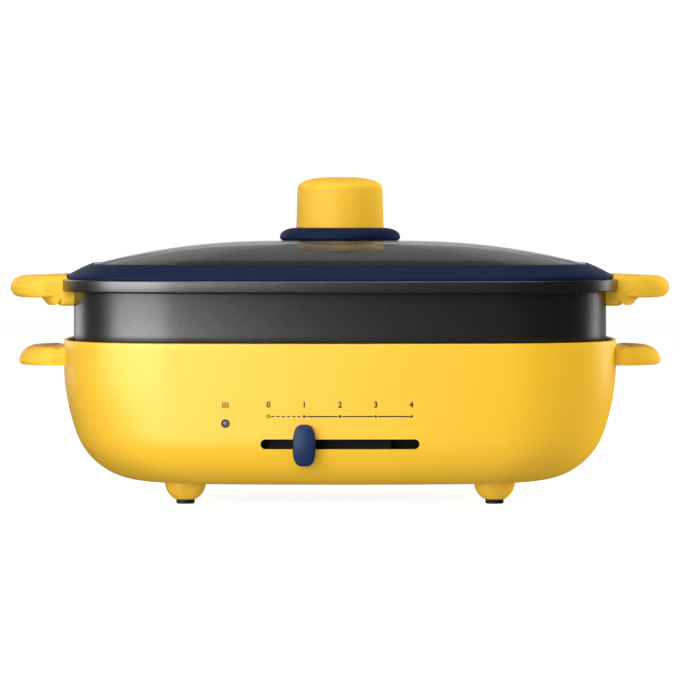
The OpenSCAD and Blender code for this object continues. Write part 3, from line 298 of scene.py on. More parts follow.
# %% [markdown]
# ## Metals and plain surfaces
#
# Sheet steel, brass pins and the heating tube all show fine lines from rolling or drawing. Noise that is
# squeezed along one direction draws such lines. The tube has been hot, so a ramp gives it brown and blue
# patches. Ceramic, the lamp's lens and the printed ink are nearly plain: one fine noise is enough for each.

# %% Metals and plain surfaces
def drawn_metal(slot, colour, gloss, squeeze):
    """Metal with fine lines; squeeze is how much finer the lines are along X, Y and Z."""
    place, inputs = finish(slot, Metallic=1)
    squeezed = place.node("Mapping", inputs={"Vector": place, "Scale": squeeze})
    lines = noise(squeezed, 6, 3)
    patches = noise(place, 25, 2)
    tone = mix(lines, tinted(colour, 0.86), tinted(colour, 1.08))
    rough = gloss + 0.14 * (lines - 0.5) + 0.12 * (patches - 0.5)
    feed(inputs, Base_Color=tone, Roughness=rough, Normal=bump(lines, 0.15, 0.02))


drawn_metal("steel", linear(196, 198, 200), 0.32, (1, 14, 14))
drawn_metal("brass", linear(214, 178, 104), 0.28, (10, 10, 1))
drawn_metal("dark_steel", linear(52, 52, 54), 0.5, (14, 14, 1))

place, inputs = finish("element_sheath", Metallic=0.85)
heat = noise(place, 22, 3)
heat_stops = [(0.3, linear(70, 66, 64)), (0.5, linear(92, 78, 66))]
heat_stops += [(0.62, linear(66, 70, 84)), (0.8, linear(52, 50, 50))]
heat_tone = heat.node("ValToRGB", {"stops": heat_stops}, {"Fac": heat})
scale_grain = noise(place, 0.8, 3)
feed(inputs, Base_Color=heat_tone, Roughness=0.4 + 0.2 * scale_grain, Normal=bump(scale_grain, 0.3, 0.04))


def grainy(slot, grain, dark, pale, gloss, swing, **constants):
    """A plain surface whose tone and gloss follow one noise, given as its size and its detail."""
    place, inputs = finish(slot, **constants)
    grains = noise(place, *grain)
    feed(inputs, Base_Color=mix(grains, dark, pale), Roughness=gloss + swing * grains)
    return grains, inputs


ceramic = linear(214, 208, 196), linear(240, 236, 226)
lens = linear(116, 113, 106), linear(134, 130, 122)
ink = linear(20, 21, 24), linear(32, 33, 37)
pores, inputs = grainy("ceramic", (1.2, 3), *ceramic, 0.3, 0.25, IOR=1.5)
feed(inputs, Normal=bump(pores, 0.25, 0.05))
grainy("lamp_lens", (0.5, 1), *lens, 0.32, 0.1, IOR=1.49, Transmission_Weight=0.25)
grainy("ink", (0.3, 2), *ink, 0.5, 0.2, IOR=1.45)
print("finishes:", len(FINISHES))

# %% [markdown]
# ## From a bmesh to a piece
#
# Every piece below ends the same way: doubles merged, faces turned outwards, smooth faces with hard edges
# where the angle is sharp, millimetres to metres, a finish, and a body to ride on. One function does this.
# Another takes one solid away from a second with a Boolean, which is how slots and holes are cut.

# %% Finish a piece, cut a piece
SHARP = radians(38)


def piece(bm, name, body, slot, replaced=(), look=None, flat_sides=None):
    """Turns a bmesh in millimetres into a piece that rides on a body in place of some solids.

    look names a finish other than the slot's. Faces with at least flat_sides sides are shaded flat.
    """
    bmesh.ops.remove_doubles(bm, verts=bm.verts, dist=0.001)
    bmesh.ops.recalc_face_normals(bm, faces=bm.faces)
    for edge in bm.edges:
        edge.smooth = len(edge.link_faces) == 2 and edge.calc_face_angle() < SHARP
    for face in bm.faces:
        face.smooth = not flat_sides or len(face.verts) < flat_sides
    bmesh.ops.scale(bm, vec=(MM, MM, MM), verts=bm.verts)
    mesh = bpy.data.meshes.new(name)
    bm.to_mesh(mesh)
    bm.free()
    mesh.materials.append(FINISHES[look or slot])
    made = bpy.data.objects.new(name, mesh)
    scene.collection.objects.link(made)
    if body:
        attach(made, body)
    if replaced:
        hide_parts(*replaced)
    print(name, "faces:", len(mesh.polygons), "in place of", list(replaced))
    return made


def cut(bm, tool):
    """Takes the tool's solids out of a bmesh."""
    solids = []
    for source in (bm, tool):
        bmesh.ops.remove_doubles(source, verts=source.verts, dist=0.001)
        bmesh.ops.recalc_face_normals(source, faces=source.faces)
        mesh = bpy.data.meshes.new("cut")
        source.to_mesh(mesh)
        source.free()
        solids.append(bpy.data.objects.new("cut", mesh))
        scene.collection.objects.link(solids[-1])
    boolean = solids[0].modifiers.new("cut", "BOOLEAN")
    boolean.object = solids[1]
    boolean.operation = "DIFFERENCE"
    boolean.solver = "EXACT"
    result = bmesh.new()
    result.from_object(solids[0], bpy.context.evaluated_depsgraph_get())
    for solid in solids:
        mesh = solid.data
        bpy.data.objects.remove(solid)
        bpy.data.meshes.remove(mesh)
    return result


# %% [markdown]
# ## Lofts and lathes
#
# Nearly all the pieces are one of two kinds. A loft is a ring of vertices that is extruded from level to
# level, with each level telling the ring's vertices where to go. A lathe is a line that is spun about an
# axis. Both take lines whose corners are rounded, so a function that rounds corners comes first.

# %% Rounded lines, lofts and lathes
def rounded(corners, steps=5):
    """A line through corners given as (across, up, radius), each rounded to its radius."""
    points = []
    for i, (across, up, radius) in enumerate(corners):
        corner = Vector((across, up))
        if radius == 0:
            points.append(corner)
            continue
        before = (Vector(corners[i - 1][:2]) - corner).normalized()
        after = (Vector(corners[(i + 1) % len(corners)][:2]) - corner).normalized()
        half = before.angle(after) / 2
        centre = corner + (before + after).normalized() * radius / sin(half)
        start = corner + before * radius / tan(half) - centre
        end = corner + after * radius / tan(half) - centre
        points += [centre + radius * start.slerp(end, k / steps).normalized() for k in range(steps + 1)]
    return points


def edges_of(verts):
    """The edges at some vertices, each once and in the same order on every run."""
    return list(dict.fromkeys(edge for vert in verts for edge in vert.link_edges))


def only(kind, geometry):
    """The vertices or the edges among some geometry."""
    return [item for item in geometry if isinstance(item, kind)]


def loft(bm, count, levels, closed=False, caps=False):
    """Extrudes a ring of vertices through levels, each a function that places the ring's i-th vertex."""
    turn = bm.verts.layers.int.get("turn") or bm.verts.layers.int.new("turn")
    ring = bmesh.ops.create_circle(bm, segments=count, radius=1)["verts"]
    for i, vert in enumerate(ring):
        vert[turn] = i
        vert.co = levels[0](i)
    edges = edges_of(ring)
    if caps:
        bmesh.ops.edgeloop_fill(bm, edges=edges)
    for level in levels[1:] + (levels[:1] if closed else []):
        made = bmesh.ops.extrude_edge_only(bm, edges=edges)["geom"]
        for vert in only(BMVert, made):
            vert.co = level(vert[turn])
        edges = only(BMEdge, made)
    if caps:
        bmesh.ops.edgeloop_fill(bm, edges=edges)
    return bm


def stand(at, axis=(0, 0, 1)):
    """A frame whose Z runs along an axis, at a place."""
    turn = Vector((0, 0, 1)).rotation_difference(Vector(axis))
    return Matrix.Translation(at) @ turn.to_matrix().to_4x4()


def lathe(bm, line, place=Matrix(), steps=64):
    """Spins a line of (radius, height) points once about the Z axis of a frame."""
    verts = [bm.verts.new(place @ Vector((radius, 0, height))) for radius, height in line]
    edges = [bm.edges.new(pair) for pair in zip(verts, verts[1:])]
    axis = place.to_3x3() @ Vector((0, 0, 1))
    bmesh.ops.spin(
        bm, geom=verts + edges, cent=place.translation, axis=axis, angle=2 * pi, steps=steps, use_merge=True
    )
    return bm


print("a rounded corner has", len(rounded([(0, 0, 0), (5, 0, 2), (5, 5, 0)])) - 2, "points")

# %% [markdown]
# ## The outline
#
# The housing, the pan and the lid all follow one outline seen from above: four corner arcs joined by long
# arcs that bow gently. A point of it is found from the direction that the outline faces there, so two
# outlines that are set in by different amounts have points that face each other, and a loft between them
# doesn't twist.

# %% The outline seen from above
CORNER_R = 78
BOW = radians(6)
HALF_W = high("base_housing").x
HALF_D = high("base_housing").y

bow_det = sin(BOW) ** 2 - (1 - cos(BOW)) ** 2
span_x = HALF_W - CORNER_R
span_y = HALF_D - CORNER_R
long_r = (span_x * sin(BOW) - span_y * (1 - cos(BOW))) / bow_det
short_r = (span_y * sin(BOW) - span_x * (1 - cos(BOW))) / bow_det
corner_x = long_r * sin(BOW)
corner_y = short_r * sin(BOW)
side_cx = corner_x - short_r * cos(BOW)
long_cy = corner_y - long_r * cos(BOW)

SIDE_STEPS, CORNER_STEPS, LONG_STEPS = 4, 18, 10
quarter = [BOW * i / SIDE_STEPS for i in range(SIDE_STEPS)]
quarter += [BOW + (pi / 2 - 2 * BOW) * i / CORNER_STEPS for i in range(CORNER_STEPS)]
quarter += [pi / 2 - BOW + BOW * i / LONG_STEPS for i in range(LONG_STEPS)]
half = quarter + [pi / 2] + [pi - angle for angle in quarter[:0:-1]]
TURNS = half + [pi + angle for angle in half]


def outline_point(inset, angle):
    """Point of the outline, set in, where it faces the given angle."""
    c, s = abs(cos(angle)), abs(sin(angle))
    turn, r = atan2(s, c), CORNER_R - inset
    if turn < BOW:
        x, y = side_cx + (short_r + r) * c, (short_r + r) * s
    elif turn < pi / 2 - BOW:
        x, y = corner_x + r * c, corner_y + r * s
    else:
        x, y = (long_r + r) * c, long_cy + (long_r + r) * s
    return Vector((x if cos(angle) > 0 else -x, y if sin(angle) > 0 else -y))


def side_x(inset, y):
    """How far the short side is from the middle at a place along it."""
    return side_cx + sqrt((short_r + CORNER_R - inset) ** 2 - y * y)


def front_y(x):
    """How far the front is from the middle at a place along it."""
    return long_cy + sqrt((long_r + CORNER_R) ** 2 - x * x)


def level(inset, z, end_in=0, edge_in=0):
    """A loft's level on the outline, drawn in further at the two ends and along the two edges."""
    narrow = 1 - end_in / (HALF_W - inset)
    flat = 1 - edge_in / (HALF_D - inset)

    def placed(i):
        point = outline_point(inset, TURNS[i])
        return Vector((point.x * narrow, point.y * flat, z))

    return placed


print("outline:", len(TURNS), "points,", round(2 * HALF_W), "by", round(2 * HALF_D), "mm")

# %% [markdown]
# ## Stage and light
#
# The photograph has a pure white ground, a large soft light from the left and a dark right side. A floor and
# a wall behind the object stand for the studio, and they glow a little so that they stay white. The wall
# fades with height: the top of the glass mirrors its white part, and the glass above the rim its dark part.
# The floor neither lights the object nor shows in its reflections. A dim light that lies on it stands in for
# it, whose strength can be set. Each light is a rectangle whose power follows from its size, so a larger
# light is softer but its reflection is no brighter. Shading and gloss are lit apart: the sheen shows only in
# reflections, the fill, the side light and the bounce only in shading.

# %% Floor and wall
STAGE_HALF, WALL_HALF, WALL_Y, WALL_WHITE, WALL_TOP, WALL_GLOW = 6000, 2500, 4000, 1667, 3000, 1.1


def paper(slot, **constants):
    """Glowing white paper with faint clouds; gives its place and its shader's sockets."""
    place, inputs = finish(slot, Roughness=0.9, Emission_Strength=0.9, **constants)
    fibres = noise(place, 250, 3)
    feed(inputs, Base_Color=mix(fibres, (0.2, 0.2, 0.2, 1), (0.24, 0.24, 0.24, 1)))
    return place, inputs


def sheet(name, slot, place):
    """A flat sheet of the stage, two units wide before it is placed."""
    bm = bmesh.new()
    bmesh.ops.create_grid(bm, x_segments=4, y_segments=4, size=1, matrix=place)
    return piece(bm, name, None, slot)


paper("floor_paper", Emission_Color=(1, 1, 1, 1))
floor = sheet("floor", "floor_paper", Matrix.Diagonal((STAGE_HALF, STAGE_HALF, 1, 1)))
floor.visible_diffuse = False
floor.visible_glossy = False

place, inputs = paper("wall_paper")
height = place.node("SeparateXYZ", inputs={0: place}, output="Z")
fade_range = {"From Min": WALL_WHITE * MM, "From Max": WALL_TOP * MM, "To Min": WALL_GLOW, "To Max": 0}
feed(inputs, Emission_Color=height.node("MapRange", inputs={"Value": height, **fade_range}))
upright = Matrix.Translation((0, WALL_Y, WALL_TOP / 2)) @ Matrix.Rotation(pi / 2, 4, "X")
wall = sheet("wall", "wall_paper", upright @ Matrix.Diagonal((WALL_HALF, WALL_TOP / 2, 1, 1)))
wall.visible_diffuse = False

# %% Lights
FLOOR_CLEAR = 0.002


def softbox(name, side, up, away, size, glow, shades=True, shines=True):
    """A rectangular light that faces the object, turned to its side and raised, in degrees and metres."""
    light = bpy.data.lights.new(name, "AREA")
    light.shape = "RECTANGLE"
    light.size, light.size_y = size
    light.energy = 4 * glow * size[0] * size[1]
    lamp = bpy.data.objects.new(name, light)
    turn, lift = radians(side), radians(up)
    lamp.location = CAMERA_AIM + away * Vector((sin(turn) * cos(lift), -cos(turn) * cos(lift), sin(lift)))
    lamp.rotation_euler = (CAMERA_AIM - lamp.location).to_track_quat("-Z", "Y").to_euler()
    lamp.visible_diffuse = shades
    lamp.visible_glossy = shines
    scene.collection.objects.link(lamp)
    print(name, "power:", round(light.energy), "W")


softbox("sheen", -48, 15, 2.1, (2.6, 1.6), 4.5, shades=False)
softbox("fill", -20, 16, 1.5, (1.5, 1.5), 3.2, shines=False)
softbox("side", 118, 5, 2.4, (1.6, 0.7), 15, shines=False)
softbox("top", 0, 88, 2.2, (2.0, 2.0), 2.0)
softbox("rim_right", 124, 8, 1.9, (0.5, 0.9), 2.4)
softbox("rim_left", -138, 12, 1.9, (0.7, 1.1), 2.0)
softbox("bounce", 0, -90, CAMERA_AIM.z - FLOOR_CLEAR, (3.0, 3.0), 0.48, shines=False)

world = bpy.data.worlds.new("studio")
world.use_nodes = True
background = world.node_tree.nodes["Background"].inputs
background["Color"].default_value = (1, 1, 1, 1)
background["Strength"].default_value = 0.03
scene.world = world
scene.view_settings.view_transform = "Standard"

# %% [markdown]
# ## Housing
#
# The housing is one moulding. Its ends round in with a large radius, its front and back edges with a
# smaller one, so the levels of the loft are drawn in by two different arcs. The loft goes up the outside,
# over the rim and down the inside, and both ends meet the hole for the bottom cover, which closes the wall.
# The slot, the lamp hole and the power inlet are then cut out of it with a Boolean. The feet, the posts under
# the liner and the lugs for the cover's screws are lathes and bevelled boxes that join it last.

# %% Housing shell
EDGE_R, END_R, END_UPPER_R, END_JOIN = 29, 45, 130, radians(70)
RIM_ROUND, RIM_BAND = 0.9, 5
COVER_CORNER, COVER_GAP = 12, 0.2
LOW_STEPS, HIGH_STEPS = 18, 8
RIM_Z = high("base_housing").z
FLOOR_LOW, FLOOR_HIGH = low("bottom_cover").z, high("bottom_cover").z
WALL = FLOOR_HIGH - FLOOR_LOW


def edge_inset(h, inset):
    """How far the front and back are drawn in at a height above the floor."""
    r = EDGE_R - inset
    return r - sqrt(r * r - (r - h) ** 2) if h < r else 0


def end_inset(h, inset):
    """How far the ends are drawn in at a height above the floor: two arcs that join smoothly."""
    r, upper_r = END_R - inset, END_UPPER_R - inset
    top = r + (upper_r - r) * cos(END_JOIN)
    if h < r * (1 - cos(END_JOIN)):
        return upper_r - (upper_r - r) * sin(END_JOIN) - sqrt(r * r - (r - h) ** 2)
    return upper_r - sqrt(upper_r * upper_r - (top - h) ** 2) if h < top else 0


def shell(inset):
    """Levels of the outer or the inner face, from the floor up to where the wall is upright."""
    r, upper_r = END_R - inset, END_UPPER_R - inset
    knee = r * (1 - cos(END_JOIN))
    top = r + (upper_r - r) * cos(END_JOIN)
    heights = [r * (1 - cos(END_JOIN * i / LOW_STEPS)) for i in range(LOW_STEPS + 1)]
    heights += [knee + (top - knee) * i / HIGH_STEPS for i in range(1, HIGH_STEPS + 1)]
    return [level(inset, FLOOR_LOW + inset + h, end_inset(h, inset), edge_inset(h, inset)) for h in heights]


def cover_edge(gap, z):
    """A level that follows the bottom cover's round-cornered edge, with a gap around it."""
    half_w, half_d, r = high("bottom_cover").x + gap, high("bottom_cover").y + gap, COVER_CORNER + gap

    def placed(i):
        c, s = cos(TURNS[i]), sin(TURNS[i])
        turn = atan2(abs(s), abs(c))
        corner = min(max((turn - BOW) / (pi / 2 - 2 * BOW), 0), 1) * pi / 2
        x = (half_w - r) * min((pi / 2 - turn) / BOW, 1) + r * cos(corner)
        y = (half_d - r) * min(turn / BOW, 1) + r * sin(corner)
        return Vector((x if c > 0 else -x, y if s > 0 else -y, z))

    return placed


rim_corners = [(0, RIM_Z - RIM_BAND, 0), (0, RIM_Z, RIM_ROUND)]
rim_corners += [(WALL, RIM_Z, RIM_ROUND), (WALL, RIM_Z - RIM_BAND, 0)]
rim = [level(inset, z) for inset, z in rounded(rim_corners, 4)]
bottom = [cover_edge(COVER_GAP, FLOOR_HIGH), cover_edge(COVER_GAP, FLOOR_LOW)]
housing = loft(bmesh.new(), len(TURNS), bottom + shell(0) + rim + shell(WALL)[::-1], closed=True)
print("housing wall:", round(WALL, 1), "mm, rim at", round(RIM_Z, 1))

# %% Slot, lamp hole, inlet hole
SLOT_HALF, SLOT_H, SLOT_DROP, SLOT_POINTS = 49, 6.2, 0.3, 32
CUT_OUT, CUT_DEEP = 9, 40
INLET_W, INLET_H = 36, 20
slot_z = (low("slider_knob").z + high("slider_knob").z) / 2 - SLOT_DROP
lamp_at = (low("lamp_bezel") + high("lamp_bezel")) / 2
lamp_r = high("lamp_bezel").x - lamp_at.x
inlet_low, inlet_high = low("inlet_socket"), high("inlet_socket")
inlet_z = (inlet_low.z + inlet_high.z) / 2


def stadium(half, r, y):
    """A level in an upright plane: a long hole with round ends."""

    def placed(i):
        turn = 2 * pi * (i + 0.5) / SLOT_POINTS
        c, s = cos(turn), sin(turn)
        return Vector((r * c + (half - r if c > 0 else r - half), y, slot_z + r * s))

    return placed


def box(bm, corner, opposite):
    """A box between two opposite corners; gives its vertices."""
    size = [abs(a - b) for a, b in zip(corner, opposite)]
    middle = (Vector(corner) + Vector(opposite)) / 2
    place = Matrix.Translation(middle) @ Matrix.Diagonal((*size, 1))
    return bmesh.ops.create_cube(bm, size=1, matrix=place)["verts"]


def inlet_box(bm, front, back):
    """A box as wide and as high as the inlet, between two depths."""
    box(bm, (-INLET_W / 2, front, inlet_z - INLET_H / 2), (INLET_W / 2, back, inlet_z + INLET_H / 2))


slot_levels = [stadium(SLOT_HALF, SLOT_H / 2, y) for y in (-HALF_D - CUT_OUT, CUT_DEEP - HALF_D)]
holes = loft(bmesh.new(), SLOT_POINTS, slot_levels, caps=True)
lamp_hole = [(0, -CUT_DEEP), (lamp_r, -CUT_DEEP), (lamp_r, CUT_DEEP), (0, CUT_DEEP)]
lathe(holes, lamp_hole, stand((lamp_at.x, -HALF_D, lamp_at.z), (0, -1, 0)), 32)
inlet_box(holes, HALF_D - CUT_DEEP, HALF_D + CUT_OUT)
housing = cut(housing, holes)
print("housing faces after the cut:", len(housing.faces))

# %% Feet, posts and lugs
FOOT_R, FOOT_LOW, FOOT_LIFT, SOLE_IN = 13, 2.8, 0.5, 0.4
POST_R, ROOT_SINK = 5.5, 1
LUG_H, LUG_OUT, LUG_BACK, LUG_SOFT = 8, 13, 5, 1
SMALL_R = 3.2
dome_z = FLOOR_LOW + FOOT_LIFT
root_z = FLOOR_HIGH - ROOT_SINK
pad = low("foot_pad_front_right"), high("foot_pad_front_right")
foot_x, foot_y = (pad[0].x + pad[1].x) / 2, -(pad[0].y + pad[1].y) / 2
liner_z = low("liner_tray").z
foot_turn = [radians(a) for a in range(-59, 1, 4)]
foot_line = [(0, FOOT_LOW), (FOOT_R * cos(foot_turn[0]) - SOLE_IN, FOOT_LOW)]
foot_line += [(FOOT_R * cos(a), dome_z + FOOT_R * sin(a)) for a in foot_turn]
foot_line += [(FOOT_R, root_z), (0, root_z)]
post_line = rounded([(0, root_z, 0), (POST_R, root_z, 0), (POST_R, liner_z, 0.8), (0, liner_z, 0)])
lug_x, lug_y = high("bottom_screws").x - SMALL_R, high("bottom_screws").y - SMALL_R


def four(x, y, z=0):
    """Four places around the middle."""
    return [Vector((side * x, end * y, z)) for side in (-1, 1) for end in (-1, 1)]


def soften(bm, edges, radius, segments=3):
    """Rounds edges to a radius."""
    bmesh.ops.bevel(
        bm, geom=edges, offset=radius, segments=segments, profile=0.5, affect="EDGES", material=-1
    )


lug_near = four(lug_x - LUG_BACK, lug_y - LUG_BACK, FLOOR_HIGH)
lug_far = four(lug_x + LUG_OUT, lug_y + LUG_OUT, FLOOR_HIGH + LUG_H)
for foot, near, far in zip(four(foot_x, foot_y), lug_near, lug_far):
    lathe(housing, foot_line, stand(foot), 48)
    lathe(housing, post_line, stand(foot), 32)
    soften(housing, edges_of(box(housing, near, far)), LUG_SOFT)
piece(housing, "housing", "base", "yellow_plastic", ["base_housing"])

# %% [markdown]
# ## Rubber pads
#
# Under each foot sits a small round rubber pad, pushed in by its stem. It is a lathe: a rounded disc with
# two rings moulded into its sole, which keep it from slipping.

# %% Rubber pads
PAD_R, PAD_H, STEM_R = 5.8, 2.8, 2.4
HANDS = (("left", -1), ("right", 1))
pad_top = high("foot_pad_front_right").z
pad_corners = [(0, 0.4, 0), (1.6, 0.4, 0.3), (1.9, 0, 0.2), (2.9, 0, 0.2), (3.2, 0.4, 0.2), (4.0, 0.4, 0.2)]
pad_corners += [(4.3, 0, 0.2), (PAD_R - 0.1, 0, 0.5), (PAD_R, PAD_H, 0.2), (STEM_R, PAD_H, 0)]
pad_line = rounded(pad_corners + [(STEM_R, pad_top, 0.6), (0, pad_top, 0)], 3)
for depth, end in (("front", -1), ("rear", 1)):
    for hand, side in HANDS:
        bm = lathe(bmesh.new(), pad_line, stand((side * foot_x, end * foot_y, 0)), 40)
        piece(bm, f"pad_{depth}_{hand}", "base", "black_rubber", [f"foot_pad_{depth}_{hand}"])

# %% [markdown]
# ## Handles
#
# Both pairs of handles are bars that hug the sides of the housing and the pan. Drawn from the front, the
# lower one is a flat ledge with a big round outer edge and a shallow scoop for the thumb. The upper one
# grips the pan's rim, with a lip over it and a finger ridge under its nose. Each is this section lofted from
# front to back: the loft follows the bowed side, the section gets shorter towards both ends because the nose
# bows back, and it shrinks over the last few millimetres so that the ends are soft. The end faces are shaded
# flat, because smooth shading over one large face shows creases.

# %% A handle from its section
HANDLE_BOW, HANDLE_SOFT, CAP_SIDES = 20, 4, 9


def handle(section, node, side, held_z):
    """A section of (out from the side, height) lofted along one side, with two soft ends."""
    soft = HANDLE_SOFT
    half = high(node).y
    tip = max(abs(low(node).x), abs(high(node).x))
    ends = [half - soft + soft * cos(radians(a)) for a in (0, 15, 30, 45, 60, 75)]
    outer = ends + [(half - soft) * (1 - i / 14) for i in range(15)]
    stations = [-y for y in outer] + outer[-2::-1]

    def station(y):
        here = tip - HANDLE_BOW * (y / half) ** 4
        stretch = (here - side_x(0, y)) / (tip - HALF_W)
        over = max(abs(y) - (half - soft), 0)
        shrink = soft - sqrt(soft * soft - over * over)

        def placed(i):
            out, z = section[i]
            out = out * stretch if out > 0 else out
            longest = (here - side_x(0, y)) - section_in
            out = section_in + (out - section_in) * (1 - shrink / longest)
            z = held_z + (z - held_z) * (1 - shrink / section_h)
            return Vector((side * (side_x(0, y) + out), y, z))

        return placed

    section_in = min(out for out, z in section)
    section_h = max(abs(z - held_z) for out, z in section)
    return loft(bmesh.new(), len(section), [station(y) for y in stations], caps=True)


def handle_pair(section, node, name, body, held_z):
    """The left and the right handle of a pair."""
    for hand, side in HANDS:
        bm = handle(section, f"{node}_{hand}", side, held_z)
        replaced = [f"{node}_{hand}"]
        piece(bm, f"{name}_{hand}", body, "yellow_plastic", replaced, "yellow_matt", CAP_SIDES)


print("handles bow back by", HANDLE_BOW, "mm at their ends")

# %% Lower handles
base_low, base_high = low("base_handle_right").z, high("base_handle_right").z
base_reach = high("base_handle_right").x - HALF_W
base_corners = [(-1.5, base_low, 0), (base_reach, base_low, 2.4), (base_reach, base_high, 9.4)]
base_corners += [(14.5, base_high - 0.5, 5), (9.5, base_high - 1.5, 8)]
base_corners += [(2.5, base_high - 0.2, 2), (-1.5, base_high, 0)]
handle_pair(rounded(base_corners, 6), "base_handle", "lower_handle", "base", base_low)

# %% Upper handles
PAN_IN, FLANGE_OVER, FLANGE_T, LID_IN, LIP_BACK, NOSE_H, GAP = 6.3, 1.4, 7.4, 2, 0.6, 5.2, 0.1
flange_top = high("pan").z
flange_low = flange_top - FLANGE_T
grip_low, grip_high = low("pan_handle_right").z, high("pan_handle_right").z
grip_reach = high("pan_handle_right").x - HALF_W
nose_low = grip_low + NOSE_H
lip_edge = LIP_BACK - LID_IN
grip_corners = [(-PAN_IN + GAP, grip_low, 0.8), (3.2, grip_low, 1.6), (4.9, grip_low + 3.0, 0.7)]
grip_corners += [(10.2, grip_low + 0.1, 0.9), (14.6, nose_low, 3), (grip_reach, nose_low, 6.3)]
grip_corners += [(grip_reach, grip_high - 1.2, 7.4), (0, grip_high, 6), (lip_edge, grip_high, 0.6)]
grip_corners += [(lip_edge, flange_top + GAP, 0), (FLANGE_OVER + GAP, flange_top + GAP, 0)]
grip_corners += [(FLANGE_OVER + GAP, flange_low - GAP, 0), (-PAN_IN + GAP, flange_low - GAP, 0)]
handle_pair(rounded(grip_corners, 5), "pan_handle", "upper_handle", "pan_body", (grip_low + grip_high) / 2)

# %% [markdown]
# ## Temperature slider
#
# The slider's knob is a tall barrel with upright sides, a front that is crowned both ways, and soft edges. It
# starts as a ring in the shape of a rounded rectangle and is lofted towards the front. The last levels shrink
# the ring while it follows the crown, and a face closes the middle.

# %% Slider knob
CROWN_X, CROWN_Z, KNOB_SOFT = 2.2, 3.4, 1.6
BLUNT, NARROW, KNOB_SINK, RING, BEHIND = 0.68, 0.04, 0.8, 48, 99
knob_low, knob_high = low("slider_knob"), high("slider_knob")
knob_mid = (knob_low + knob_high) / 2
knob_half = (knob_high - knob_low) / 2


def blunt(share):
    """Widens a circle's sine or cosine, which turns the circle into a rounded square."""
    return copysign(abs(share) ** BLUNT, share)


def barrel(drawn_in, back):
    """A level of the barrel: the ring drawn in by some millimetres, some way behind the crown."""

    def placed(i):
        turn, shrink = 2 * pi * i / RING, 1 - drawn_in / knob_half.x
        across, along = shrink * blunt(cos(turn)), shrink * blunt(sin(turn))
        y = knob_low.y + CROWN_X * across**2 + CROWN_Z * along**2 + back
        x = knob_mid.x + knob_half.x * across * (1 - NARROW * (1 + along) / 2)
        return Vector((x, min(y, knob_high.y), knob_mid.z - KNOB_SINK + knob_half.z * along))

    return placed


soft_turns = [radians(15 * i) for i in range(7)]
soft_edge = [(KNOB_SOFT * (1 - cos(a)), KNOB_SOFT * (1 - sin(a))) for a in soft_turns]
crown = [(knob_half.x * share, 0) for share in (0.4, 0.6, 0.8, 0.97)]
levels = [barrel(0, BEHIND)] + [barrel(*step) for step in soft_edge + crown]
bm = loft(bmesh.new(), RING, levels, caps=True)
piece(bm, "slider_barrel", "slider", "navy_plastic", ["slider_knob"])

# %% [markdown]
# ## Lamp
#
# A small neon lamp sits above the slot: a thin grey ring pressed into the wall and a clear dome in it. Both
# are lathes about an axis that points to the front.

# %% Lamp
LENS_GAP, LENS_SINK, LENS_CROWN = 0.05, 0.9, 0.8
lens_r = (high("lamp_lens").x - low("lamp_lens").x) / 2
bore_r = lens_r + LENS_GAP
bezel_front = low("lamp_bezel").y
bezel_len = high("lamp_bezel").y - bezel_front
lens_back = high("lamp_lens").y - bezel_front
lamp_frame = stand((lamp_at.x, bezel_front, lamp_at.z), (0, -1, 0))
bezel_corners = [(bore_r, -bezel_len, 0), (lamp_r, -bezel_len, 0), (lamp_r, 0, 0.3), (bore_r, 0, 0.25)]
bezel_line = rounded(bezel_corners, 4)
bm = lathe(bmesh.new(), bezel_line + bezel_line[:1], lamp_frame, 40)
piece(bm, "lamp_ring", "base", "grey_plastic", ["lamp_bezel"])

lens_turns = [radians(a) for a in range(90, -1, -10)]
lens_line = [(lens_r * cos(a), LENS_CROWN * sin(a) - LENS_SINK) for a in lens_turns]
lens_line += [(lens_r, -lens_back), (0, -lens_back)]
bm = lathe(bmesh.new(), lens_line, lamp_frame, 40)
piece(bm, "lamp_dome", "base", "lamp_lens", ["lamp_lens"])

# %% [markdown]
# ## Printed scale
#
# Above the slot a thin scale is printed on the housing: a ring for off, dashes, then a line with a dot at
# each setting and a number over it. Everything is drawn flat first: numbers are text turned into a mesh, the
# rest is circles and grids. Then it is given a little thickness and laid onto the bowed front.

# %% Printed scale, drawn flat
SETTING_PITCH, SETTINGS = 22, 5
NUMBER_Z, LINE_Z = 64.4, 57.3
WAVE_Z, WAVE_PITCH, WAVE_HALF, WAVE_SWING, WAVE_TURN = 64.2, 1.5, 1.9, 0.4, 3.3
NUMBER_SIZE, LINE_W, DOT_R, RING_R, RING_W = 5.0, 0.75, 0.85, 1.15, 0.55
DASHES, DASH_LEN, DOT_GAP, NUMBER_BOLD, STROKE_STEP = 6, 1.9, 0.5, 0.16, 3
FIRST_X = -SETTING_PITCH * (SETTINGS - 1) / 2
setting_x = [FIRST_X + SETTING_PITCH * i for i in range(SETTINGS)]


def number(bm, text, x, y):
    """Adds a number, made as text and turned into a mesh, centred over x."""
    curve = bpy.data.curves.new("number", "FONT")
    curve.body = text
    curve.size = NUMBER_SIZE
    curve.offset = NUMBER_BOLD
    curve.align_x = "CENTER"
    curve.align_y = "CENTER"
    holder = bpy.data.objects.new("number", curve)
    scene.collection.objects.link(holder)
    mesh = bpy.data.meshes.new_from_object(holder.evaluated_get(bpy.context.evaluated_depsgraph_get()))
    mesh.transform(Matrix.Translation((x, y, 0)))
    bm.from_mesh(mesh)
    bpy.data.objects.remove(holder)
    bpy.data.curves.remove(curve)
    bpy.data.meshes.remove(mesh)


def grid(bm, x, y, half_w, half_h, across, up):
    """Adds a flat grid of so many faces across and up; gives its vertices."""
    place = Matrix.Translation((x, y, 0)) @ Matrix.Diagonal((half_w, half_h, 1, 1))
    return bmesh.ops.create_grid(bm, x_segments=across, y_segments=up, size=1, matrix=place)["verts"]


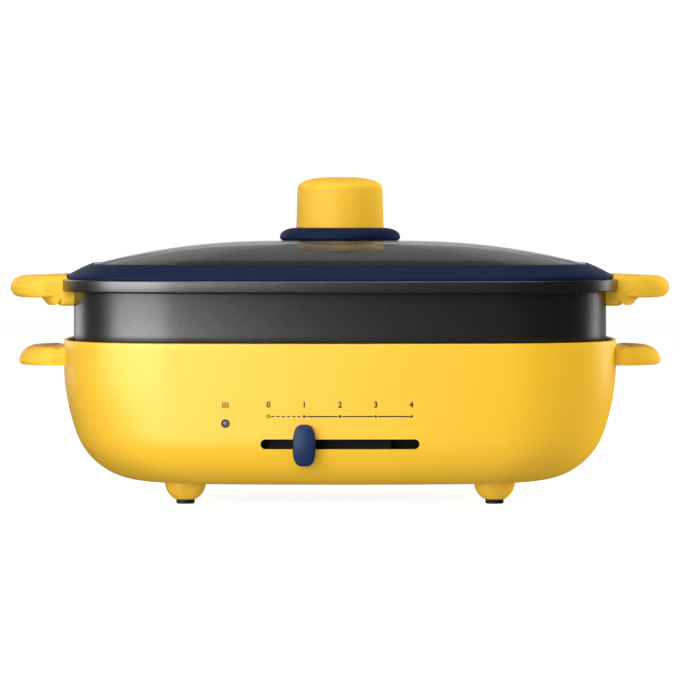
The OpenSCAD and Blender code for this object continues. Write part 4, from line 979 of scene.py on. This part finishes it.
def stroke(bm, x0, x1, y):
    """Adds a straight stroke, in short steps so that it can bend with the front."""
    half = (x1 - x0) / 2
    grid(bm, (x0 + x1) / 2, y, half, LINE_W / 2, max(ceil(2 * half / STROKE_STEP), 1), 1)


flat = bmesh.new()
for i, x in enumerate(setting_x):
    number(flat, str(i), x, NUMBER_Z)
    if i > 0:
        spot = Matrix.Translation((x, LINE_Z, 0))
        bmesh.ops.create_circle(flat, cap_ends=True, segments=24, radius=DOT_R, matrix=spot)
    if i > 1:
        stroke(flat, setting_x[i - 1] + DOT_R + DOT_GAP, x - DOT_R - DOT_GAP, LINE_Z)
dash_pitch = (SETTING_PITCH - RING_R - DOT_R - DOT_GAP) / DASHES
for i in range(DASHES):
    dash_x = FIRST_X + RING_R + DOT_GAP + dash_pitch * i
    stroke(flat, dash_x, dash_x + DASH_LEN, LINE_Z)
off_mark = Matrix.Translation((FIRST_X, LINE_Z, 0))
ring = bmesh.ops.create_circle(flat, segments=28, radius=RING_R, matrix=off_mark)["verts"]
inner = only(BMVert, bmesh.ops.extrude_edge_only(flat, edges=edges_of(ring))["geom"])
hole = 1 - RING_W / RING_R
bmesh.ops.scale(flat, vec=(hole, hole, 1), verts=inner, space=off_mark.inverted())
for shift in (-WAVE_PITCH, 0, WAVE_PITCH):
    for vert in grid(flat, lamp_at.x + shift, WAVE_Z, LINE_W / 2, WAVE_HALF, 1, 12):
        vert.co.x += WAVE_SWING * sin((vert.co.y - WAVE_Z) * WAVE_TURN)
print("printed faces:", len(flat.faces))

# %% Printed scale, laid on the front
INK_IN, INK_OUT = 0.15, 0.05
bmesh.ops.recalc_face_normals(flat, faces=flat.faces)
bmesh.ops.solidify(flat, geom=flat.faces, thickness=INK_IN + INK_OUT)
middle = sum(vert.co.z for vert in flat.verts) / len(flat.verts)
for vert in flat.verts:
    x, z, front = vert.co.x, vert.co.y, vert.co.z > middle
    vert.co = (x, -front_y(x) + (-INK_OUT if front else INK_IN), z)
piece(flat, "printed_scale", "base", "ink")

# %% [markdown]
# ## Pan
#
# The pan is cast, with a wall that leans out, a heavy rim that rests on the housing and a ribbed floor. One
# section is lofted round the outline: under the floor, up the outside, round the rim and down the inside,
# and flat faces close the two floors. The ribs are bars that are narrower at the top, with bevelled edges.

# %% Pan
PAN_WALL, PAN_TAPER, FLOOR_T, PAN_FILLET, PAN_BEND = 3, 7.7, 3.4, 11, 20
FLANGE_SOFT, FLAT_IN = 0.8, 32
TAPER_TOP = RIM_Z + 2
pan_low = low("pan").z
mouth = PAN_IN + PAN_WALL
floor_z = pan_low + FLOOR_T
pan_corners = [(FLAT_IN, pan_low, 0), (PAN_IN + PAN_TAPER, pan_low, PAN_FILLET)]
pan_corners += [(PAN_IN, TAPER_TOP, PAN_BEND), (PAN_IN, flange_low, 0.6)]
pan_corners += [(-FLANGE_OVER, flange_low, FLANGE_SOFT), (-FLANGE_OVER, flange_top, FLANGE_SOFT)]
pan_corners += [(mouth, flange_top, FLANGE_SOFT), (mouth, TAPER_TOP, PAN_BEND)]
pan_corners += [(mouth + PAN_TAPER, floor_z, PAN_FILLET - PAN_WALL), (FLAT_IN, floor_z, 0)]
pan = loft(bmesh.new(), len(TURNS), [level(*point) for point in rounded(pan_corners, 5)], caps=True)

RIBS, RIB_PITCH, RIB_W, RIB_H, RIB_SINK = 17, 14, 4.6, 3, 0.5
RIB_LEAN, RIB_SOFT, RIB_CLEAR, RIB_SHORTER = 2, 0.7, 12, 0.35
rib_half = HALF_D - mouth - PAN_TAPER - RIB_CLEAR
for i in range(RIBS):
    x = RIB_PITCH * (i - (RIBS - 1) / 2)
    reach = rib_half - RIB_SHORTER * max(abs(x) - span_x, 0)
    bar = box(pan, (x - RIB_W / 2, -reach, floor_z - RIB_SINK), (x + RIB_W / 2, reach, floor_z + RIB_H))
    for vert in bar:
        if vert.co.z > floor_z:
            vert.co.x = x + (vert.co.x - x) / 2
            vert.co.y -= copysign(RIB_LEAN, vert.co.y)
    soften(pan, edges_of(bar), RIB_SOFT)
piece(pan, "pan_casting", "pan_body", "pan_coating", ["pan"])

# %% [markdown]
# ## Glass lid
#
# The glass has a round flat in the middle for the knob's collar. From there it falls away, more steeply at
# the front than at the ends, until it meets the rim. Each level of the loft lies some way between the round
# flat and the outline, which turns a circle into the grill's outline without a seam. The wall goes down the
# outside and back up the inside.

# %% Glass lid
BAND_IN, BAND_LOW, BAND_FOOT, BAND_RISE, BAND_POWER, BAND_T = 28.5, LID_IN + 1.8, 3, 9.5, 1.5, 0.8
BAND_TOP = flange_top + BAND_FOOT + BAND_RISE
GLASS_T, GLASS_EDGE_IN, RING_IN, PLATEAU_R, BORE_R = 2.4, 10.5, 18.2, 40, 26.5
FRONT_POWER, END_POWER, DOME_STEPS = 1.3, 2.1, 22
plateau_z = high("lid_glass").z


def band_z(inset):
    """Height of the sloping border, which levels off towards the dome."""
    return BAND_TOP - BAND_RISE * ((BAND_IN - inset) / (BAND_IN - BAND_LOW)) ** BAND_POWER


def dome(way, drop):
    """A level of the dome, some way from the flat (0) to the rim (1), lowered by drop."""

    def placed(i):
        c, s = cos(TURNS[i]), sin(TURNS[i])
        power = FRONT_POWER + (END_POWER - FRONT_POWER) * c * c
        point = (1 - way) * PLATEAU_R * Vector((c, s)) + way * outline_point(RING_IN, TURNS[i])
        fall = plateau_z - band_z(RING_IN) + BAND_T
        return Vector((point.x, point.y, plateau_z - fall * way**power - drop))

    return placed


def bore(z):
    """A round level in the middle of the lid."""
    return lambda i: Vector((BORE_R * cos(TURNS[i]), BORE_R * sin(TURNS[i]), z))


def glass_face(drop):
    """Levels of one face of the glass, from the bore out."""
    ways = [i / DOME_STEPS for i in range(DOME_STEPS + 1)]
    edge = [level(inset, band_z(inset) - BAND_T - drop) for inset in (16.5, 13.5, GLASS_EDGE_IN)]
    return [bore(plateau_z - drop)] + [dome(way, drop) for way in ways] + edge


bm = loft(bmesh.new(), len(TURNS), glass_face(0) + glass_face(GLASS_T)[::-1], closed=True)
glass = piece(bm, "glass_dome", "lid_body", "smoked_glass", ["lid_glass"])
glass.visible_shadow = False

# %% [markdown]
# ## Soft rim
#
# A navy silicone rim grips the glass. From outside it shows an upright lip with a small step behind it, and
# a sloping band. Under the glass it has a lip of its own and a short skirt that centres the lid in the pan.
# All of this is one section that goes round the outline.

# %% Soft rim
LIP_IN, SKIRT_IN, SKIRT_T, SKIRT_H = 18.8, 9.8, 2.8, 3.9
LIP_TOP = flange_top + 2.4
HOLD, EDGE_GAP, LIP_T = 0.1, 0.2, 1.3
groove_in, skirt_out, skirt_low = GLASS_EDGE_IN - EDGE_GAP, SKIRT_IN + SKIRT_T, flange_top - SKIRT_H
lip_up, lip_down = GLASS_T + HOLD, GLASS_T + LIP_T


def under(inset, drop):
    """A place under the glass's top face."""
    return (inset, band_z(inset) - BAND_T - drop, 0)


rim_corners = [(LID_IN, flange_top, 0.6), (LID_IN, LIP_TOP, 0.6), (BAND_LOW - 0.3, LIP_TOP, 0.2)]
rim_corners += [(BAND_LOW, band_z(BAND_LOW), 0.3)]
rim_corners += [(inset, band_z(inset), 0) for inset in (6, 8.5, 11, 13.5, 16)]
rim_corners += [(RING_IN, band_z(RING_IN), 0.5), under(RING_IN, -HOLD), under(groove_in, -HOLD)]
rim_corners += [under(groove_in, lip_up), under(LIP_IN, lip_up), under(LIP_IN, lip_down)]
rim_corners += [under(skirt_out, lip_down), (skirt_out, skirt_low, 0.8), (SKIRT_IN, skirt_low, 0.8)]
rim_corners += [(SKIRT_IN, flange_top, 0)]
bm = loft(bmesh.new(), len(TURNS), [level(*point) for point in rounded(rim_corners, 5)], closed=True)
piece(bm, "lid_rim", "lid_body", "navy_silicone", ["lid_ring"])

# %% [markdown]
# ## Knob, collar and seat
#
# In the middle of the lid a navy collar carries a yellow knob, and a yellow seat under the glass takes the
# screw. All three are lathes. The knob is hollow, as moulded knobs are, with a post for the screw. In the
# photograph the seat is bright and the glass in front of it clear. So the glass and the collar cast no
# shadow, and the knob and its screw show neither in reflections nor in what is seen through the glass.

# %% Knob, collar and seat
SCREW_BORE = 2.6
collar_low, collar_top = low("knob_collar").z, high("knob_collar").z
collar_r = high("knob_collar").x
COLLAR_EDGE, COLLAR_REACH, COLLAR_DROP = 2.2, 10, 5.6
arc = [radians(6 * i) for i in range(16)]
collar_line = [(SCREW_BORE, collar_low)]
for a in arc:
    collar_line.append((collar_r - COLLAR_EDGE * (1 - sin(a)), collar_low + COLLAR_EDGE * (1 - cos(a))))
for a in arc:
    collar_line.append((collar_r - COLLAR_REACH * (1 - cos(a)), collar_top - COLLAR_DROP * (1 - sin(a))))
collar_line += [(SCREW_BORE, collar_top), (SCREW_BORE, collar_low)]
bm = lathe(bmesh.new(), collar_line, steps=96)
# The collar takes the darker matt copy of the navy plastic; the darker tone is painted shade.
collar = piece(bm, "collar", "lid_body", "navy_plastic", ["knob_collar"], "navy_matt_painted_shade")
collar.visible_shadow = False

KNOB_TOP_R, KNOB_DROP, KNOB_BEND = 27.2, 8.6, 2.7
POST_OUT, CAVITY_R, CAVITY_H = 8, 24, 20.1
knob_r, knob_top = high("lid_knob").x, high("lid_knob").z
cavity_z = collar_top + CAVITY_H
knob_corners = [(0, cavity_z, 0), (SCREW_BORE, cavity_z, 0), (SCREW_BORE, collar_top, 0)]
knob_corners += [(POST_OUT, collar_top, 0), (POST_OUT, cavity_z, 1.5), (CAVITY_R, cavity_z, 3)]
knob_corners += [(CAVITY_R, collar_top, 0), (knob_r, collar_top, 0.6), (KNOB_TOP_R, knob_top - KNOB_DROP, 0)]
knob_line = rounded(knob_corners, 8)
for a in arc[1:]:
    across, up = cos(a) ** (2 / KNOB_BEND), sin(a) ** (2 / KNOB_BEND)
    knob_line.append((KNOB_TOP_R * across, knob_top - KNOB_DROP * (1 - up)))
bm = lathe(bmesh.new(), knob_line, steps=96)
knob = piece(bm, "knob", "lid_body", "yellow_plastic", ["lid_knob"], "yellow_matt")
knob.visible_glossy = False
knob.visible_transmission = False

seat_low, seat_top, seat_r = low("knob_seat").z, high("knob_seat").z, high("knob_seat").x
shoulder_z, spigot_r = seat_top - GLASS_T, BORE_R - HOLD
seat_corners = [(SCREW_BORE, seat_low, 0), (seat_r, seat_low, 2.6), (seat_r, shoulder_z, 0.2)]
seat_corners += [(spigot_r, shoulder_z, 0), (spigot_r, seat_top, 0), (SCREW_BORE, seat_top, 0)]
seat_line = rounded(seat_corners, 6)
bm = lathe(bmesh.new(), seat_line + seat_line[:1], steps=96)
piece(bm, "seat", "lid_body", "yellow_plastic", ["knob_seat"])

# %% [markdown]
# ## Liner and heating tube
#
# Under the pan lies a pressed steel tray with a tubular heater in it. The tray is a section lofted round the
# outline with soft bends, and two holes for the tube. The tube is a ring of vertices that is led along its
# way: extruded where the tube is straight, spun where it bends. The ceramic bushes at its two ends and the
# four ceramic rests for the pan are lathes.

# %% Liner
LINER_FLAT, LINER_FOOT, LINER_BEND, LINER_TOP_IN, LINER_T, LINER_BEND_H = 45, 20, 9, 7.5, 1, 10
TUBE_R, END_X, BUSH_HOLE_R, HOLE_HALF = 3.5, 20, 5.1, 5
liner_low, liner_top = low("liner_tray").z, high("liner_tray").z
element_low, element_high = low("heating_element"), high("heating_element")
end_y = element_high.y - TUBE_R
bend_z, tray_z = liner_low + LINER_BEND_H, liner_low + LINER_T
liner_corners = [(LINER_FLAT, liner_low, 0), (LINER_FOOT, liner_low, 5), (LINER_BEND, bend_z, 7)]
liner_corners += [(LINER_TOP_IN, liner_top, 0.3), (LINER_TOP_IN + LINER_T, liner_top, 0.3)]
liner_corners += [(LINER_BEND + LINER_T, bend_z, 6), (LINER_FOOT + 0.5, tray_z, 4), (LINER_FLAT, tray_z, 0)]
liner = loft(bmesh.new(), len(TURNS), [level(*point) for point in rounded(liner_corners, 4)], caps=True)
holes = bmesh.new()
hole_line = [(0, -HOLE_HALF), (BUSH_HOLE_R, -HOLE_HALF), (BUSH_HOLE_R, HOLE_HALF), (0, HOLE_HALF)]
for side in (-1, 1):
    lathe(holes, hole_line, stand((side * END_X, end_y, liner_low)), 32)
piece(cut(liner, holes), "liner", "base", "steel", ["liner_tray"])

# %% Heating tube
def run(bm, ring, by):
    """Leads a ring straight on."""
    made = bmesh.ops.extrude_edge_only(bm, edges=only(BMEdge, ring))["geom"]
    bmesh.ops.translate(bm, vec=by, verts=only(BMVert, made))
    return only((BMVert, BMEdge), made)


def bend(bm, ring, centre, axis, turn):
    """Leads a ring round a bend."""
    made = bmesh.ops.spin(bm, geom=ring, cent=centre, axis=axis, angle=radians(turn), steps=12)
    return only((BMVert, BMEdge), made["geom_last"])


LOOP_R, RISE_R = 40, 7.9
tube_z = element_high.z - TUBE_R
loop_x, loop_y = element_high.x - TUBE_R - LOOP_R, end_y - LOOP_R
rise_x, rise_z = END_X + RISE_R, tube_z - RISE_R
rise = rise_z - element_low.z
loop = [(loop_x, loop_y, (0, -2 * loop_y, 0)), (loop_x, -loop_y, (-2 * loop_x, 0, 0))]
loop += [(-loop_x, -loop_y, (0, 2 * loop_y, 0)), (-loop_x, loop_y, (loop_x - rise_x, 0, 0))]
bm = bmesh.new()
start = stand((END_X, end_y, element_low.z))
ring = bmesh.ops.create_circle(bm, segments=20, radius=TUBE_R, matrix=start)["verts"]
ring = ring + edges_of(ring)
bmesh.ops.edgeloop_fill(bm, edges=only(BMEdge, ring))
ring = run(bm, ring, (0, 0, rise))
ring = bend(bm, ring, (rise_x, end_y, rise_z), (0, 1, 0), 90)
ring = run(bm, ring, (loop_x - rise_x, 0, 0))
for x, y, onward in loop:
    ring = bend(bm, ring, (x, y, tube_z), (0, 0, 1), -90)
    ring = run(bm, ring, onward)
ring = bend(bm, ring, (-rise_x, end_y, rise_z), (0, 1, 0), 90)
ring = run(bm, ring, (0, 0, -rise))
bmesh.ops.edgeloop_fill(bm, edges=only(BMEdge, ring))
piece(bm, "heating_tube", "base", "element_sheath", ["heating_element"])

# %% Ceramic bushes and rests
bush_low, bush_high = low("element_bushes"), high("element_bushes")
BUSH_R, SPIGOT_R, TUBE_BORE = 6, 5, 3.6
bush_corners = [(TUBE_BORE, bush_low.z, 0.3), (BUSH_R, bush_low.z, 0.6), (BUSH_R, liner_low, 0.3)]
bush_corners += [(SPIGOT_R, liner_low, 0), (SPIGOT_R, bush_high.z, 0.3), (TUBE_BORE, bush_high.z, 0.3)]
bush_line = rounded(bush_corners, 3)
bm = bmesh.new()
for side in (-1, 1):
    lathe(bm, bush_line + bush_line[:1], stand((side * END_X, end_y, 0)), 36)
piece(bm, "bushes", "base", "ceramic", ["element_bushes"])

REST_R, REST_NECK_R, REST_FOOT_H, REST_NECK_H = 6, 4.8, 2, 2.6
rest_z, rest_high = low("pot_rests").z, high("pot_rests")
rest_corners = [(0, rest_z, 0), (REST_R, rest_z, 0.4), (REST_R, rest_z + REST_FOOT_H, 0.6)]
rest_corners += [(REST_NECK_R, rest_z + REST_NECK_H, 0.8), (REST_NECK_R, rest_high.z, 1.2)]
rest_corners += [(0, rest_high.z, 0)]
bm = bmesh.new()
for at in four(rest_high.x - REST_R, rest_high.y - REST_R):
    lathe(bm, rounded(rest_corners, 4), stand(at), 36)
piece(bm, "rests", "base", "ceramic", ["pot_rests"])

# %% [markdown]
# ## Power inlet
#
# At the back a plug goes into a rectangular socket with a flange and two pins. The socket is a box with one
# face inset and pushed in; the flange is a plate with round corners.

# %% Power inlet
SOCKET_DEEP, SOCKET_WALL, SOCKET_CORNER = 18, 3, 2.5
PLATE_T, PLATE_CORNER, PLATE_SOFT = 3, 5, 0.8
plate_y = HALF_D + PLATE_T


def corners_of(bm):
    """The edges of a box that run from front to back."""
    return [edge for edge in bm.edges if abs((edge.verts[0].co - edge.verts[1].co).y) > 1]


def rear_of(bm):
    """The face that is furthest back."""
    return max(bm.faces, key=lambda face: face.calc_center_median().y)


bm = bmesh.new()
inlet_box(bm, inlet_low.y, inlet_high.y)
soften(bm, corners_of(bm), SOCKET_CORNER, 4)
mouth_face = rear_of(bm)
bmesh.ops.inset_region(bm, faces=[mouth_face], thickness=SOCKET_WALL, use_even_offset=True)
pocket = bmesh.ops.extrude_discrete_faces(bm, faces=[mouth_face])["faces"][0]
bmesh.ops.translate(bm, vec=(0, -SOCKET_DEEP, 0), verts=pocket.verts)
plate = bmesh.new()
box(plate, (inlet_low.x, HALF_D, inlet_low.z), (inlet_high.x, plate_y, inlet_high.z))
soften(plate, corners_of(plate), PLATE_CORNER, 6)
soften(plate, list(rear_of(plate).edges), PLATE_SOFT)
plate_mesh = bpy.data.meshes.new("plate")
plate.to_mesh(plate_mesh)
plate.free()
bm.from_mesh(plate_mesh)
bpy.data.meshes.remove(plate_mesh)
piece(bm, "inlet", "base", "black_plastic", ["inlet_socket"])

pin_low, pin_high = low("inlet_pins"), high("inlet_pins")
pin_r = (pin_high.z - pin_low.z) / 2
pin_len = pin_high.y - pin_low.y
pin_line = rounded([(0, 0, 0), (pin_r, 0, 0.3), (pin_r, pin_len, pin_r * 0.7), (0, pin_len, 0)], 5)
bm = bmesh.new()
for side in (-1, 1):
    lathe(bm, pin_line, stand((side * (pin_high.x - pin_r), pin_low.y, inlet_z), (0, 1, 0)), 28)
piece(bm, "pins", "base", "brass", ["inlet_pins"])

# %% [markdown]
# ## Screws
#
# Screws with a rounded head and a cross recess hold the cover, the liner, the inlet, the handles and the
# knob. Each is a lathe; the recess is two slots that are cut out one after the other.

# %% Screws
UP, DOWN, BACK = (0, 0, 1), (0, 0, -1), (0, 1, 0)
SMALL_H, SMALL_SHANK, POINT_H = 2.2, 1.5, 1.5
GRIP_R, GRIP_SHANK = 3.5, 1.75
KNOB_HEAD_R, KNOB_HEAD_H, KNOB_SHANK = 4.5, 3, 2.5
CROSS_LONG, CROSS_WIDE = 1.1, 0.24


def screws(name, node, body, places, axis, head_r, head_h, shank_r, slot="steel"):
    """Screws in place of a node, whose heads rest at the places and point along the axis."""
    tip = low(node) if sum(axis) > 0 else high(node)
    length = (Vector(places[0]) - tip).dot(Vector(axis))
    line = [(0, -length, 0), (shank_r * 0.6, -length, 0), (shank_r, POINT_H - length, 0), (shank_r, 0, 0)]
    line += [(head_r, 0, 0.2), (head_r, head_h, head_h * 0.75), (0, head_h, 0)]
    bm, slots = bmesh.new(), [bmesh.new(), bmesh.new()]
    for at in places:
        there = stand(at, axis)
        lathe(bm, rounded(line, 4), there, 28)
        for slot_bm, wide, tall in zip(slots, (CROSS_LONG, CROSS_WIDE), (CROSS_WIDE, CROSS_LONG)):
            shape = Matrix.Diagonal((wide * head_r, tall * head_r, head_h, 1))
            shape = there @ Matrix.Translation((0, 0, head_h)) @ shape
            bmesh.ops.create_cube(slot_bm, size=1, matrix=shape)
    return piece(cut(cut(bm, slots[0]), slots[1]), name, body, slot, [node])


def four_on(node, head_r, z):
    """Four places for screws of a head's radius, found from the box of the screws' node."""
    return four(high(node).x - head_r, high(node).y - head_r, z)


liner_at = four_on("liner_screws", SMALL_R, high("liner_screws").z - SMALL_H)
screws("liner_fixings", "liner_screws", "base", liner_at, UP, SMALL_R, SMALL_H, SMALL_SHANK)
cover_at = four_on("bottom_screws", SMALL_R, FLOOR_LOW + WALL / 2)
screws("cover_fixings", "bottom_screws", "base", cover_at, DOWN, SMALL_R, WALL / 2, SMALL_SHANK)
inlet_screw_x = high("inlet_screws").x - SMALL_R
inlet_at = [(side * inlet_screw_x, plate_y, inlet_z) for side in (-1, 1)]
screws("inlet_fixings", "inlet_screws", "base", inlet_at, BACK, SMALL_R, SMALL_H, SMALL_SHANK)
grip_at = four_on("pan_handle_screws", GRIP_R, low("pan_handle_screws").z + SMALL_H)
screws("grip_fixings", "pan_handle_screws", "pan_body", grip_at, DOWN, GRIP_R, SMALL_H, GRIP_SHANK)
knob_at = [(0, 0, low("knob_screw").z + KNOB_HEAD_H)]
knob_head = (KNOB_HEAD_R, KNOB_HEAD_H, KNOB_SHANK)
knob_screw = screws("knob_fixing", "knob_screw", "lid_body", knob_at, DOWN, *knob_head, "dark_steel")
knob_screw.visible_glossy = False
knob_screw.visible_transmission = False

# %% [markdown]
# ## Everything else
#
# The parts inside the housing, such as the thermostat, the rack and pinion, the wires and the fuse, have the
# right shape already as solids. They keep it and only get the finish of their slot from the record. The
# washer under the knob's screw is dark, as the screw is.

# %% Finishes for the solids that stay
for part in frame["record"]["subparts"]:
    solid = frame["nodes"][part["node"]]
    solid.data.materials.clear()
    solid.data.materials.append(FINISHES[part["material_slot"]])
frame["nodes"]["knob_washer"].data.materials[0] = FINISHES["dark_steel"]
